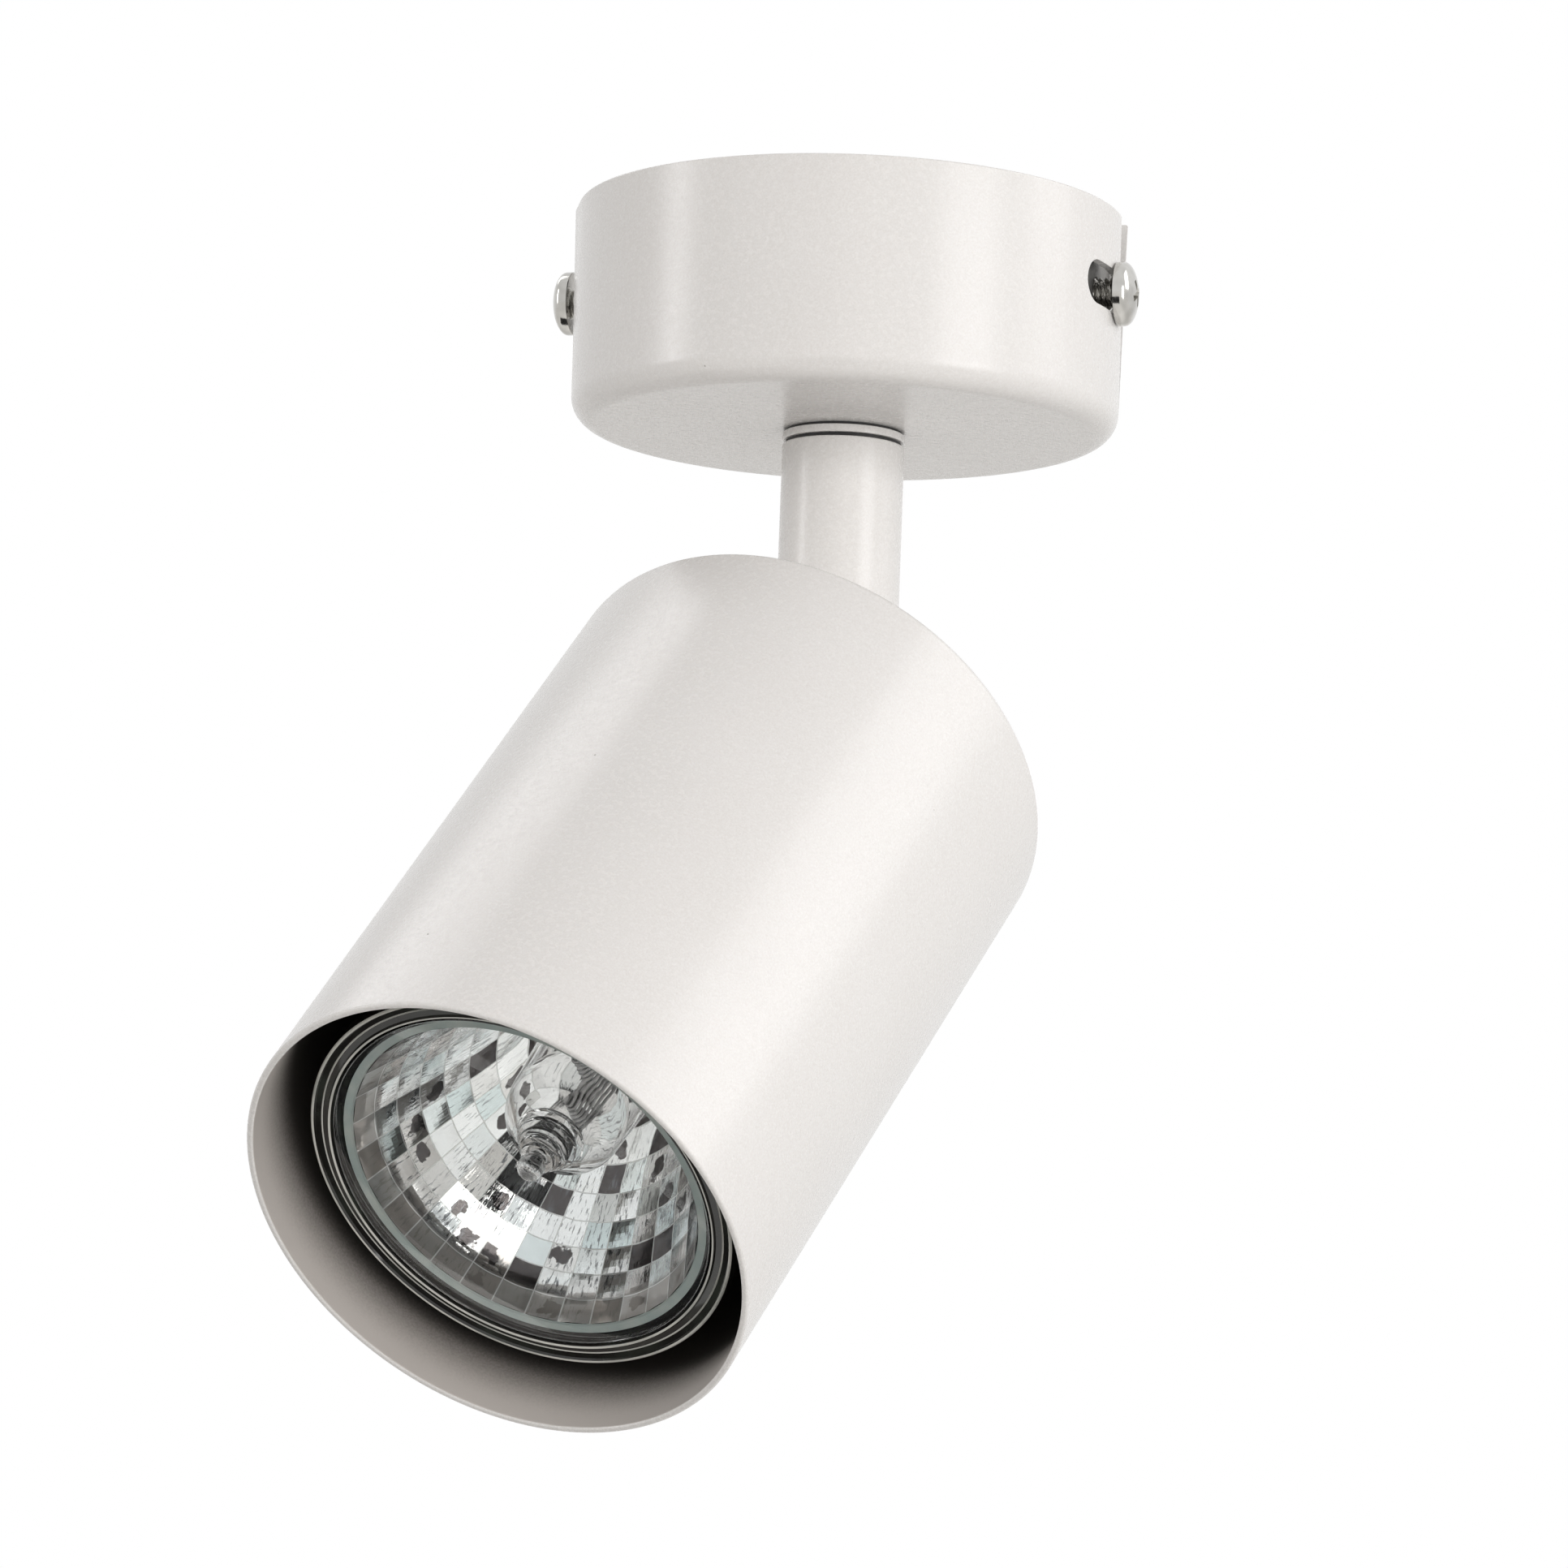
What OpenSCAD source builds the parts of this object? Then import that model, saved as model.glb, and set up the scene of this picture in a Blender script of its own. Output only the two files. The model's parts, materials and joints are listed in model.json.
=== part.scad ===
// Ceiling spotlight: round canopy, turning stem, tilting knuckle and a can head with a twist-lock reflector lamp.
// Millimetres. The origin is on the canopy's axis at the ceiling plane, +Z up, +X through the canopy's side screws.

/* [Canopy] */
// Outer diameter of the canopy
canopy_d = 65; // [60:0.5:90]
// Height of the canopy below the ceiling
canopy_h = 26.2; // [25:0.1:40]
// Sheet thickness of the canopy
canopy_wall = 1.0; // [0.8:0.1:1.5]
// Radius of the canopy's lower outer edge
canopy_edge_r = 3.0; // [1.8:0.1:5]
// Depth of the side screws and their slots below the ceiling
screw_drop = 10.0; // [9:0.1:12]
// Height of the twist slot in the canopy's side
slot_w = 5.2; // [4.8:0.1:6]
// Reach of the twist slot on its long side of the screw
slot_long = 9.6; // [6:0.1:12]
// Reach of the twist slot on its entry side of the screw
slot_short = 7.0; // [5:0.1:9]
// Width of the entry gap from the open rim down to the slot
entry_w = 4.8; // [4.4:0.1:5.5]
// Nominal diameter of the canopy's side screws
side_screw_d = 4.0; // [3:0.5:4]
// Length of the side screws below their heads
side_screw_l = 8.0; // [6:0.5:12]
// How far the -X side screw stands out of its seat, not yet turned home
loose_turn = 1.2; // [0:0.1:1.5]

/* [Ceiling bracket] */
// Width of the strap
strap_w = 16; // [15:0.5:20]
// Sheet thickness of the bracket
strap_t = 1.5; // [1.2:0.1:2]
// Width of the two turned-down tabs
tab_w = 14; // [10:0.5:15]
// Depth of the tabs below the ceiling
tab_drop = 16; // [14:0.5:20]
// Space between a tab and the canopy's inner wall
tab_gap = 1.35; // [1.1:0.05:2]
// Length of the middle plate along X
plate_x = 28; // [26:0.5:30]
// Width of the middle plate along Y
plate_y = 40; // [38:0.5:46]
// Distance between the two ceiling fixing slots
fixing_pitch = 40; // [36:0.5:44]
// Width of a fixing slot
fixing_w = 4.5; // [3.5:0.1:5.5]
// Length of a fixing slot
fixing_l = 9; // [7:0.5:10]
// Diameter of the supply cable hole
cable_hole_d = 12; // [8:0.5:12]

/* [Terminal block] */
// Length of the terminal block along X
block_x = 21; // [20:0.5:26]
// Width of the terminal block along Y
block_y = 12; // [10:0.5:13]
// Height of the terminal block
block_h = 11; // [10:0.5:12]
// Distance of the block's middle from the canopy's axis
block_offset = 13; // [12.5:0.1:13.2]
// Distance between neighbouring poles
pole_pitch = 6.8; // [6.4:0.1:7]
// Diameter of a pole's wire entry
pole_bore_d = 3.0; // [2.5:0.1:3.2]

/* [Stem] */
// Outer diameter of the stem, its collar and its knuckle
stem_d = 14.5; // [14:0.1:18]
// Wall thickness of the stem tube
stem_wall = 1.0; // [0.8:0.1:1.2]
// Distance from the canopy's underside to the tilt pivot
pivot_drop = 34.0; // [34:0.5:60]
// Height of the collar below the canopy
collar_h = 1.25; // [1:0.05:3]
// Height of the soft ring between collar and tube
gasket_h = 0.4; // [0.3:0.1:1]
// Outer diameter of the hollow threaded nipple and of the head's hollow shank
nipple_d = 10; // [9.6:0.1:10]
// Bore of the nipple and of the head's shank
nipple_bore_d = 8.0; // [7.4:0.1:8.2]
// Length of the threaded insert in the tube's top
insert_l = 8; // [5:0.5:12]
// Length of the knuckle's spigot in the tube's lower end
spigot_l = 8; // [5:0.5:10]

/* [Knuckle] */
// Nominal diameter of the pivot screw
pivot_screw_d = 4.0; // [3:0.5:4]
// Outer diameter of the sleeves round the pivot screw
sleeve_d = 6.2; // [5.6:0.1:6.4]
// Wall thickness of the knuckle's drums
drum_wall = 1.35; // [1:0.05:1.4]
// Thickness of the drums' closed outer ends
drum_end = 1.5; // [1:0.1:2]
// Thickness of the upper knuckle's flange
upper_flange_t = 2.6; // [2:0.1:4]
// Thickness of the lower knuckle's flange
lower_flange_t = 2.0; // [1.5:0.1:4]

/* [Head] */
// Outer diameter of the head
head_d = 60; // [58:0.5:64]
// Length of the head
head_l = 85.4; // [85:0.2:110]
// Wall thickness of the head's side
head_wall = 0.8; // [0.7:0.1:1.5]
// Thickness of the head's closed top
head_top_t = 1.5; // [1:0.1:2.5]
// Radius of the head's top outer edge
head_edge_r = 1.0; // [0.5:0.1:2]
// Tilt of the head at rest, from straight down
rest_tilt = 45.8; // [30:0.1:60]
// Bearing of the head at rest, from +X
rest_pan = 253.2; // [0:0.1:360]

/* [Lamp] */
// Rim diameter of the reflector lamp
lamp_d = 50.7; // [49:0.1:52]
// Length of the lamp from its front to its base, without the pins
lamp_l = 53; // [50:0.5:56]
// Distance between the lamp's two pins
pin_pitch = 10; // [9:0.1:11]
// Diameter of a pin's neck
pin_neck_d = 3.0; // [2.6:0.1:3.4]
// Diameter of a pin's foot
pin_foot_d = 4.8; // [4.4:0.1:5]
// Length of a pin
pin_l = 7.2; // [6.5:0.1:8]
// Diameter of the quartz capsule
capsule_d = 11.6; // [10:0.1:12]
// Diameter of the mirror's clear opening
mirror_d = 40; // [38:0.5:41]
// Diameter of the hole in the mirror's middle
mirror_hole_d = 17.2; // [16:0.2:18]
// Depth of the mirror's bowl
mirror_depth = 14.5; // [13:0.5:17]
// Depth of the filament behind the lamp's front
filament_depth = 11.5; // [10.5:0.1:13]

/* [Lamp holder] */
// Distance from the shank's end to the holder
holder_gap = 4.4; // [3.8:0.1:8]
// Diameter of the holder
holder_d = 26; // [24:0.5:28]
// Height of the holder
holder_h = 14; // [13:0.5:16]
// Thickness of the holder's slotted front
holder_front_t = 3.0; // [2.5:0.1:4]
// Twist that locks the lamp
lock_twist = 25; // [15:1:35]
// Half distance between the lamp bracket's legs
leg_x = 16; // [15:0.5:18]
// Width of the lamp bracket's strip
bracket_w = 12; // [11:0.5:16]
// Sheet thickness of the lamp bracket
bracket_t = 1.0; // [0.8:0.1:1.5]
// Half distance between the holder's screws
holder_screw_x = 10; // [9.5:0.1:11]

/* [Leads] */
// Outer diameter of an insulated lead
lead_d = 1.3; // [1.1:0.05:1.35]
// Distance between neighbouring leads in the knuckle
lead_pitch = 1.65; // [1.6:0.05:1.7]

/* [Fits] */
// Radial clearance of a piece that turns on another
run_gap = 0.06; // [0.03:0.01:0.1]
// Radial clearance of a thread or a plug in its hole
fit_gap = 0.05; // [0.03:0.01:0.1]
// Gap between flat faces that slide on each other
slide_gap = 0.05; // [0.03:0.01:0.1]
// Gap between the knuckle's moving rims
rim_gap = 0.35; // [0.2:0.05:0.5]

/* [Hidden] */
$fn = 96;
eps = 0.01;
lead_sides = 8;

// Canopy and bracket
canopy_r = canopy_d / 2;
canopy_in_r = canopy_r - canopy_wall;
canopy_floor = -canopy_h + canopy_wall;
tab_x = canopy_in_r - tab_gap;
entry_y = slot_short - entry_w / 2;
side_head_gap = 0.2;
tab_pilot_r = side_screw_d / 2 + fit_gap;
earth_y = -14;
earth_screw_d = 3.5;
washer_t = 0.6;
pan_ratio = 1.9;
pan_height = 0.6;

// Terminal block
block_top = -strap_t;
block_bottom = block_top - block_h;
block_near = block_offset - block_y / 2;
pole_z = block_top - 0.42 * block_h;
clamp_wall = 0.6;
clamp_d = pole_bore_d + 2 * clamp_wall;
pole_screw_d = 2.6;
pole_screw_set = 0.6;
driver_slot_w = 0.5;
driver_slot_h = 0.7;
tower_skin = 0.7;
bar_inset = 1.5;
bar_h = 0.75 * block_h;
block_screw_d = 2.5;
block_screw_x = pole_pitch / 2;
block_well_h = 0.3 * block_h;
earth_pair_x = lead_d / 2 + 0.03;

// Stem
stem_r = stem_d / 2;
stem_bore_r = stem_r - stem_wall;
nipple_r = nipple_d / 2;
nipple_bore_r = nipple_bore_d / 2;
sleeve_wall = 1.0;
collar_top = -canopy_h;
gasket_top = collar_top - collar_h - slide_gap;
tube_top = gasket_top - gasket_h;
pivot_z = -canopy_h - pivot_drop;
thrust_t = 1.0;
thrust_bottom = canopy_floor + slide_gap;
split_t = 1.7;
split_bottom = thrust_bottom + thrust_t;
locknut_bottom = split_bottom + split_t;
nut_af = 14;
nut_h = 3.5;
nut_thread_out = 0.9;
nipple_top = locknut_bottom + nut_h + nut_thread_out;
split_w = 1.2;
washer_r = 8.5;

// Knuckle, measured from the tilt pivot
ledge = stem_r + rim_gap;
tube_end = ledge + upper_flange_t;
spigot_r = stem_bore_r - fit_gap;
spigot_bore_r = spigot_r - 1.0;
chamber_r = stem_r - drum_wall;
chamber_depth = stem_r - drum_end;
half_gap = 0.15;
sleeve_face = 0.25;
pivot_bore_r = pivot_screw_d / 2 + run_gap;
lead_ring_r = (chamber_r + sleeve_d / 2) / 2;
lead_slot_x = 2.0;
lead_first = lead_d / 2 + half_gap + 0.2;
pivot_nut_af = 7;
pivot_nut_h = 3.2;

// Head, measured from the tilt pivot
head_r = head_d / 2;
head_top = -(ledge + lower_flange_t);
head_rim = head_top - head_l;
bracket_top = head_top - head_top_t;
shank_washer_t = 1.0;
shank_washer_top = bracket_top - bracket_t;
shank_nut_top = shank_washer_top - shank_washer_t;
shank_thread_out = 0.5;
shank_end = shank_nut_top - nut_h - shank_thread_out;
holder_top = shank_end - holder_gap;
holder_front = holder_top - holder_h;
base_end = holder_front - slide_gap;
lamp_front = base_end - lamp_l;
holder_screw_d = 3.0;
ring_t = 0.5;
leg_screw_d = 3.5;
leg_screw_z = (bracket_top + holder_top) / 2;
foot_reach = 2.6;
holder_screw_grip = 5.5;
terminal_r = leg_screw_d * 0.95;

// Lamp, measured back from its front
lamp_r = lamp_d / 2;
mirror_r = mirror_d / 2;
glass_t = 1.8;
glass_set = 0.2;
glass_seat = glass_t + glass_set;
glass_r = lamp_r - 2.6;
rim_depth = 2.6;
bowl_back_r = lamp_r - 2.8;
bowl_start = 4.0;
bowl_end = 22;
mirror_neck_r = mirror_hole_d / 2;
neck_outer_r = mirror_neck_r + 1.6;
neck_l = 15;
neck_end = bowl_end + neck_l;
base_r = neck_outer_r + 1.9;
base_start = bowl_end + 10;
cup_end = neck_end + 0.3;
nib_tip = 2.4;
nib_r = 1.5;
capsule_r = capsule_d / 2;
shoulder = nib_tip + 2 * nib_r + 3.6;
capsule_end = shoulder + 9;
pinch_l = 17;
pinch_end = capsule_end + pinch_l;
pinch_t = 2.6;
quartz = 0.8;
coil_r = 0.45;
coil_half = 2.4;
support_r = 0.22;
pin_root = 3.8;
pin_foot_h = 2.4;

// Leads: place of the middle lead in the nipple and the row in the knuckle
lead_row = [lead_first, lead_first + lead_pitch, lead_first + 2 * lead_pitch];
shank_row = [-0.35, -1.85, -3.3];
nipple_row = [-1.6, 0, 1.6];
lead_break = 0.4;

// Small shared forms

module pipe(ro, ri, low, high) {
    translate([0, 0, low])
        difference() {
            cylinder(r = ro, h = high - low);
            translate([0, 0, -1])
                cylinder(r = ri, h = high - low + 2);
        }
}

module hex_nut(af, h, bore_r) {
    difference() {
        cylinder(r = af / 2 / cos(30), h = h, $fn = 6);
        translate([0, 0, -1])
            cylinder(r = bore_r, h = h + 2);
    }
}

// Cross-recess pan head on a plain shank: the head's underside is at z = 0 and its shank points down
module pan_screw(d, length) {
    head_r = d * pan_ratio / 2;
    head_h = d * pan_height;
    edge = head_h * 0.35;
    dome = [for (a = [0 : 15 : 75]) [head_r * cos(a), edge + (head_h - edge) * sin(a)]];
    difference() {
        union() {
            rotate_extrude()
                polygon(concat([[0, 0], [head_r, 0]], dome, [[0, head_h]]));
            translate([0, 0, -length])
                cylinder(r = d / 2, h = length + eps);
        }
        for (turn = [0, 90])
            rotate([0, 0, turn])
                translate([-0.5 * d, -0.1 * d, 0.45 * head_h])
                    cube([d, 0.2 * d, head_h]);
    }
}

// Slot along X with round ends, cut from z = low to z = high
module long_hole(w, l, low, high) {
    for (side = [-1, 1])
        translate([side * (l - w) / 2, 0, low])
            cylinder(r = w / 2, h = high - low);
    translate([-(l - w) / 2, -w / 2, low])
        cube([l - w, w, high - low]);
}

function unit(v) = v / norm(v);
function spline(a, b, c, d, t) =
    0.5 * (2 * b + (c - a) * t + (2 * a - 5 * b + 4 * c - d) * t * t + (3 * b - a - 3 * c + d) * t * t * t);
function route(p, steps) = concat(
    [for (i = [0 : len(p) - 2], s = [0 : steps - 1])
        spline(p[max(i - 1, 0)], p[i], p[i + 1], p[min(i + 2, len(p) - 1)], s / steps)],
    [p[len(p) - 1]]);
function along(p, i) = unit(p[min(i + 1, len(p) - 1)] - p[max(i - 1, 0)]);

// Insulated lead swept along its route; across is a direction that the route never follows
module lead(p, across) {
    n = lead_sides;
    rings = len(p);
    skin = [for (i = [0 : rings - 1])
        let (t = along(p, i), e = unit(across - (across * t) * t), f = cross(t, e))
        for (k = [0 : n - 1])
            p[i] + lead_d / 2 * (cos(360 * k / n) * e + sin(360 * k / n) * f)];
    sides = [for (i = [0 : rings - 2], k = [0 : n - 1])
        [i * n + k, (i + 1) * n + k, (i + 1) * n + (k + 1) % n, i * n + (k + 1) % n]];
    first = [for (k = [0 : n - 1]) k];
    last = [for (k = [0 : n - 1]) rings * n - 1 - k];
    polyhedron(points = skin, faces = concat(sides, [first, last]), convexity = 4);
}

// Frame at the pivot that turns with the stem: X towards the head's lean, Y along the tilt axis
module at_stem() {
    translate([0, 0, pivot_z])
        rotate([0, 0, rest_pan])
            children();
}

// Frame at the pivot that tilts with the head: the head hangs along -Z
module at_head() {
    at_stem()
        rotate([0, -rest_tilt, 0])
            children();
}

module stem_axis() {
    rotate([0, 0, rest_pan])
        children();
}

// Root: bracket, canopy and supply terminals

module ceiling_bracket() {
    color("silver")
        difference() {
            union() {
                translate([-tab_x, -strap_w / 2, -strap_t])
                    cube([2 * tab_x, strap_w, strap_t]);
                translate([-plate_x / 2, -plate_y / 2, -strap_t])
                    cube([plate_x, plate_y, strap_t]);
                for (side = [0, 180])
                    rotate([0, 0, side])
                        translate([tab_x - strap_t, -tab_w / 2, -tab_drop])
                            cube([strap_t, tab_w, tab_drop]);
            }
            for (side = [-1, 1])
                translate([side * fixing_pitch / 2, 0, 0])
                    long_hole(fixing_w, fixing_l, -strap_t - 1, 1);
            translate([0, 0, -strap_t - 1])
                cylinder(r = cable_hole_d / 2, h = strap_t + 2);
            translate([-tab_x - 1, 0, -screw_drop])
                rotate([0, 90, 0])
                    cylinder(r = tab_pilot_r, h = 2 * tab_x + 2);
            translate([0, earth_y, -strap_t - 1])
                cylinder(r = earth_screw_d / 2 + fit_gap, h = strap_t + 2);
            translate([block_screw_x, block_offset, -strap_t - 1])
                cylinder(r = block_screw_d / 2 + fit_gap, h = strap_t + 2);
        }
}

module canopy_profile() {
    inner_edge = max(canopy_edge_r - canopy_wall, 0.2);
    outer = [for (a = [0 : 15 : 90])
        [canopy_r - canopy_edge_r + canopy_edge_r * cos(a), -canopy_h + canopy_edge_r - canopy_edge_r * sin(a)]];
    inner = [for (a = [90 : -15 : 0])
        [canopy_in_r - inner_edge + inner_edge * cos(a), canopy_floor + inner_edge - inner_edge * sin(a)]];
    hole = nipple_r + sleeve_wall + run_gap + fit_gap;
    polygon(concat([[canopy_r, 0]], outer, [[hole, -canopy_h], [hole, canopy_floor]], inner, [[canopy_in_r, 0]]));
}

// Twist slot with its entry from the rim, cut along X through the wall on the +X side
module twist_slot() {
    near = canopy_in_r - slot_long * slot_long / canopy_in_r;
    reach = canopy_r + 1 - near;
    translate([near, 0, -screw_drop])
        rotate([0, 90, 0])
            union() {
                translate([0, -slot_long + slot_w / 2, 0])
                    cylinder(r = slot_w / 2, h = reach);
                translate([0, slot_short - slot_w / 2, 0])
                    cylinder(r = slot_w / 2, h = reach);
                translate([-slot_w / 2, -slot_long + slot_w / 2, 0])
                    cube([slot_w, slot_long + slot_short - slot_w, reach]);
            }
    translate([near, entry_y - entry_w / 2, -screw_drop])
        cube([reach, entry_w, screw_drop + 1]);
}

module canopy() {
    color("white")
        difference() {
            rotate_extrude($fn = 180)
                canopy_profile();
            for (side = [0, 180])
                rotate([0, 0, side])
                    twist_slot();
        }
}

module canopy_screws() {
    color("gainsboro")
        for (side = [0, 1])
            rotate([0, 0, 180 * side])
                translate([canopy_r + side_head_gap + side * loose_turn, 0, -screw_drop])
                    rotate([0, 90, 0])
                        pan_screw(side_screw_d, side_screw_l);
}

module collar() {
    color("white")
        difference() {
            union() {
                translate([0, 0, collar_top - collar_h])
                    cylinder(r = stem_r, h = collar_h);
                translate([0, 0, collar_top - eps])
                    cylinder(r = nipple_r + run_gap + sleeve_wall, h = canopy_wall + eps);
            }
            translate([0, 0, collar_top - collar_h - 1])
                cylinder(r = nipple_r + run_gap, h = collar_h + canopy_wall + 2);
        }
}

module terminal_block() {
    color("ivory")
        difference() {
            union() {
                for (pole = [-1 : 1])
                    translate([pole * pole_pitch, block_offset, block_bottom])
                        translate([-(clamp_d / 2 + tower_skin), -block_y / 2, 0])
                            cube([clamp_d + 2 * tower_skin, block_y, block_h]);
                translate([-block_x / 2, block_near + bar_inset, block_top - bar_h])
                    cube([block_x, block_y - 2 * bar_inset, bar_h]);
            }
            for (pole = [-1 : 1])
                translate([pole * pole_pitch, 0, 0]) {
                    translate([0, block_near - 1, pole_z])
                        rotate([-90, 0, 0])
                            cylinder(r = clamp_d / 2 + fit_gap, h = block_y + 2);
                    for (end = [-1, 1])
                        translate([0, block_offset + end * block_y / 4, block_bottom - 1])
                            cylinder(r = pole_screw_d / 2 + 0.4, h = pole_z - block_bottom + 1);
                }
            translate([block_screw_x, block_offset, block_bottom - 1])
                cylinder(r = block_screw_d / 2 + fit_gap, h = block_h + 2);
            translate([block_screw_x, block_offset, block_bottom - 1])
                cylinder(r = block_screw_d * pan_ratio / 2 + 0.2, h = block_well_h + 1);
        }
}

module terminal_clamps() {
    color("goldenrod")
        for (pole = [-1 : 1])
            translate([pole * pole_pitch, 0, 0])
                difference() {
                    translate([0, block_near + 0.8, pole_z])
                        rotate([-90, 0, 0])
                            cylinder(r = clamp_d / 2, h = block_y - 1.6);
                    translate([0, block_near, pole_z])
                        rotate([-90, 0, 0])
                            cylinder(r = pole_bore_d / 2, h = block_y);
                    for (end = [-1, 1])
                        translate([0, block_offset + end * block_y / 4, pole_z - clamp_d])
                            cylinder(r = pole_screw_d / 2 + fit_gap, h = clamp_d);
                }
}

module terminal_screws() {
    color("silver")
        for (pole = [-1 : 1], end = [-1, 1])
            translate([pole * pole_pitch, block_offset + end * block_y / 4, block_bottom + pole_screw_set])
                difference() {
                    cylinder(r = pole_screw_d / 2, h = pole_z - lead_d / 2 - block_bottom - pole_screw_set);
                    translate([-pole_screw_d, -driver_slot_w / 2, -1])
                        cube([2 * pole_screw_d, driver_slot_w, 1 + driver_slot_h]);
                }
}

module block_screw() {
    color("silver")
        translate([block_screw_x, block_offset, block_bottom + block_well_h])
            rotate([180, 0, 0])
                pan_screw(block_screw_d, block_h - block_well_h + strap_t);
}

module earth_screw() {
    color("goldenrod")
        translate([0, earth_y, -strap_t - washer_t])
            rotate([180, 0, 0])
                pan_screw(earth_screw_d, washer_t + strap_t);
}

// Ends of the root's leads over the nipple, in line with the stem's leads at rest
function over_nipple(i) = [-sin(rest_pan) * nipple_row[i], cos(rest_pan) * nipple_row[i], nipple_top + lead_break];
// The two leads of the earth pole lie side by side in it
function pole_x(i) = i == 1 ? -earth_pair_x : (i - 1) * pole_pitch;
function canopy_route(i) = route([
    [pole_x(i), block_near + 4, pole_z],
    [pole_x(i), block_near + 1, pole_z],
    [pole_x(i) * 0.95, block_near - 2, pole_z - 0.4],
    [pole_x(i) * 0.6, over_nipple(i).y + 2.2, (pole_z + nipple_top) / 2],
    over_nipple(i) + [0, 0.1, 1.5],
    over_nipple(i)
], 4);

module canopy_live_lead() {
    color("saddlebrown")
        lead(canopy_route(0), [1, 0, 0]);
}

module canopy_earth_lead() {
    color("yellowgreen")
        lead(canopy_route(1), [1, 0, 0]);
}

module canopy_neutral_lead() {
    color("royalblue")
        lead(canopy_route(2), [1, 0, 0]);
}

// Earth link: a ring terminal under the earth screw and a lead to the earth pole
module bracket_earth_lead() {
    tag_z = -strap_t - washer_t / 2;
    color("yellowgreen") {
        difference() {
            union() {
                translate([0, earth_y, -strap_t - washer_t])
                    cylinder(r = earth_screw_d * 0.95, h = washer_t);
                translate([-1.2, earth_y, -strap_t - washer_t])
                    cube([2.4, 5.5, washer_t]);
            }
            translate([0, earth_y, -strap_t - washer_t - 1])
                cylinder(r = earth_screw_d / 2 + fit_gap, h = washer_t + 2);
        }
        lead(route([
            [0, earth_y + 4, tag_z - 0.3],
            [0.2, earth_y + 6.5, tag_z - 0.8],
            [2.6, -2, pole_z + 1.8],
            [3.2, 2.5, pole_z + 1.2],
            [earth_pair_x + 0.9, block_near - 1.6, pole_z + 0.4],
            [earth_pair_x, block_near + 0.8, pole_z],
            [earth_pair_x, block_near + 4, pole_z]
        ], 4), [1, 0, 0]);
    }
}

// Stem: everything that turns in the canopy

module gasket_ring() {
    color("dimgray")
        pipe(stem_r - 0.4, nipple_r + fit_gap, tube_top, gasket_top);
}

module stem_tube() {
    color("white")
        pipe(stem_r, stem_bore_r, pivot_z + tube_end, tube_top);
}

module stem_insert() {
    color("darkgray")
        pipe(stem_bore_r - fit_gap, nipple_r + fit_gap, tube_top - insert_l, tube_top);
}

module nipple() {
    color("silver")
        pipe(nipple_r, nipple_bore_r, tube_top - insert_l + 0.5, nipple_top);
}

module thrust_washer() {
    color("silver")
        pipe(washer_r, nipple_r + fit_gap, thrust_bottom, thrust_bottom + thrust_t);
}

module spring_washer() {
    color("dimgray")
        difference() {
            pipe(washer_r - 0.6, nipple_r + fit_gap, split_bottom, split_bottom + split_t);
            stem_axis()
                translate([0, -split_w / 2, split_bottom - 1])
                    cube([washer_r, split_w, split_t + 2]);
        }
}

module locknut() {
    color("silver")
        translate([0, 0, locknut_bottom])
            stem_axis()
                hex_nut(nut_af, nut_h, nipple_r + fit_gap);
}

// One half of the knuckle on the +Y side, ledge upward: drum, neck, sleeve, lead chamber and lead slot
module knuckle_half() {
    difference() {
        union() {
            rotate([-90, 0, 0])
                translate([0, 0, half_gap])
                    cylinder(r = stem_r, h = stem_r - half_gap);
            intersection() {
                cylinder(r = stem_r, h = ledge + eps);
                translate([-stem_r, half_gap, 0])
                    cube([stem_d, stem_r, ledge + 1]);
            }
        }
        rotate([-90, 0, 0])
            difference() {
                translate([0, 0, -1])
                    cylinder(r = chamber_r, h = chamber_depth + 1);
                translate([0, 0, sleeve_face])
                    cylinder(r = sleeve_d / 2, h = chamber_depth + 2);
            }
        rotate([-90, 0, 0])
            translate([0, 0, -1])
                cylinder(r = pivot_bore_r, h = stem_r + 2);
        translate([-lead_slot_x, -1, lead_ring_r])
            cube([2 * lead_slot_x, 1 + spigot_bore_r, ledge + 1 - lead_ring_r]);
    }
}

module upper_knuckle() {
    color("white")
        at_stem() {
            knuckle_half();
            difference() {
                union() {
                    translate([0, 0, ledge])
                        cylinder(r = stem_r, h = upper_flange_t);
                    translate([0, 0, tube_end - eps])
                        cylinder(r = spigot_r, h = spigot_l + eps);
                }
                translate([0, 0, ledge + 1])
                    cylinder(r = spigot_bore_r, h = upper_flange_t + spigot_l);
                translate([-lead_slot_x, -1, ledge - 1])
                    cube([2 * lead_slot_x, 1 + spigot_bore_r, 3]);
            }
        }
}

module friction_washer() {
    color("sienna")
        at_stem()
            rotate([-90, 0, 0])
                pipe(sleeve_d / 2, pivot_bore_r, slide_gap - sleeve_face, sleeve_face - slide_gap);
}

module pivot_screw() {
    color("silver")
        at_stem()
            translate([0, stem_r + slide_gap, 0])
                rotate([-90, 0, 0])
                    pan_screw(pivot_screw_d, stem_d + pivot_nut_h + 1);
}

module pivot_nut() {
    color("silver")
        at_stem()
            translate([0, -stem_r - slide_gap, 0])
                rotate([90, 0, 0])
                    hex_nut(pivot_nut_af, pivot_nut_h, pivot_screw_d / 2 + fit_gap);
}

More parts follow.
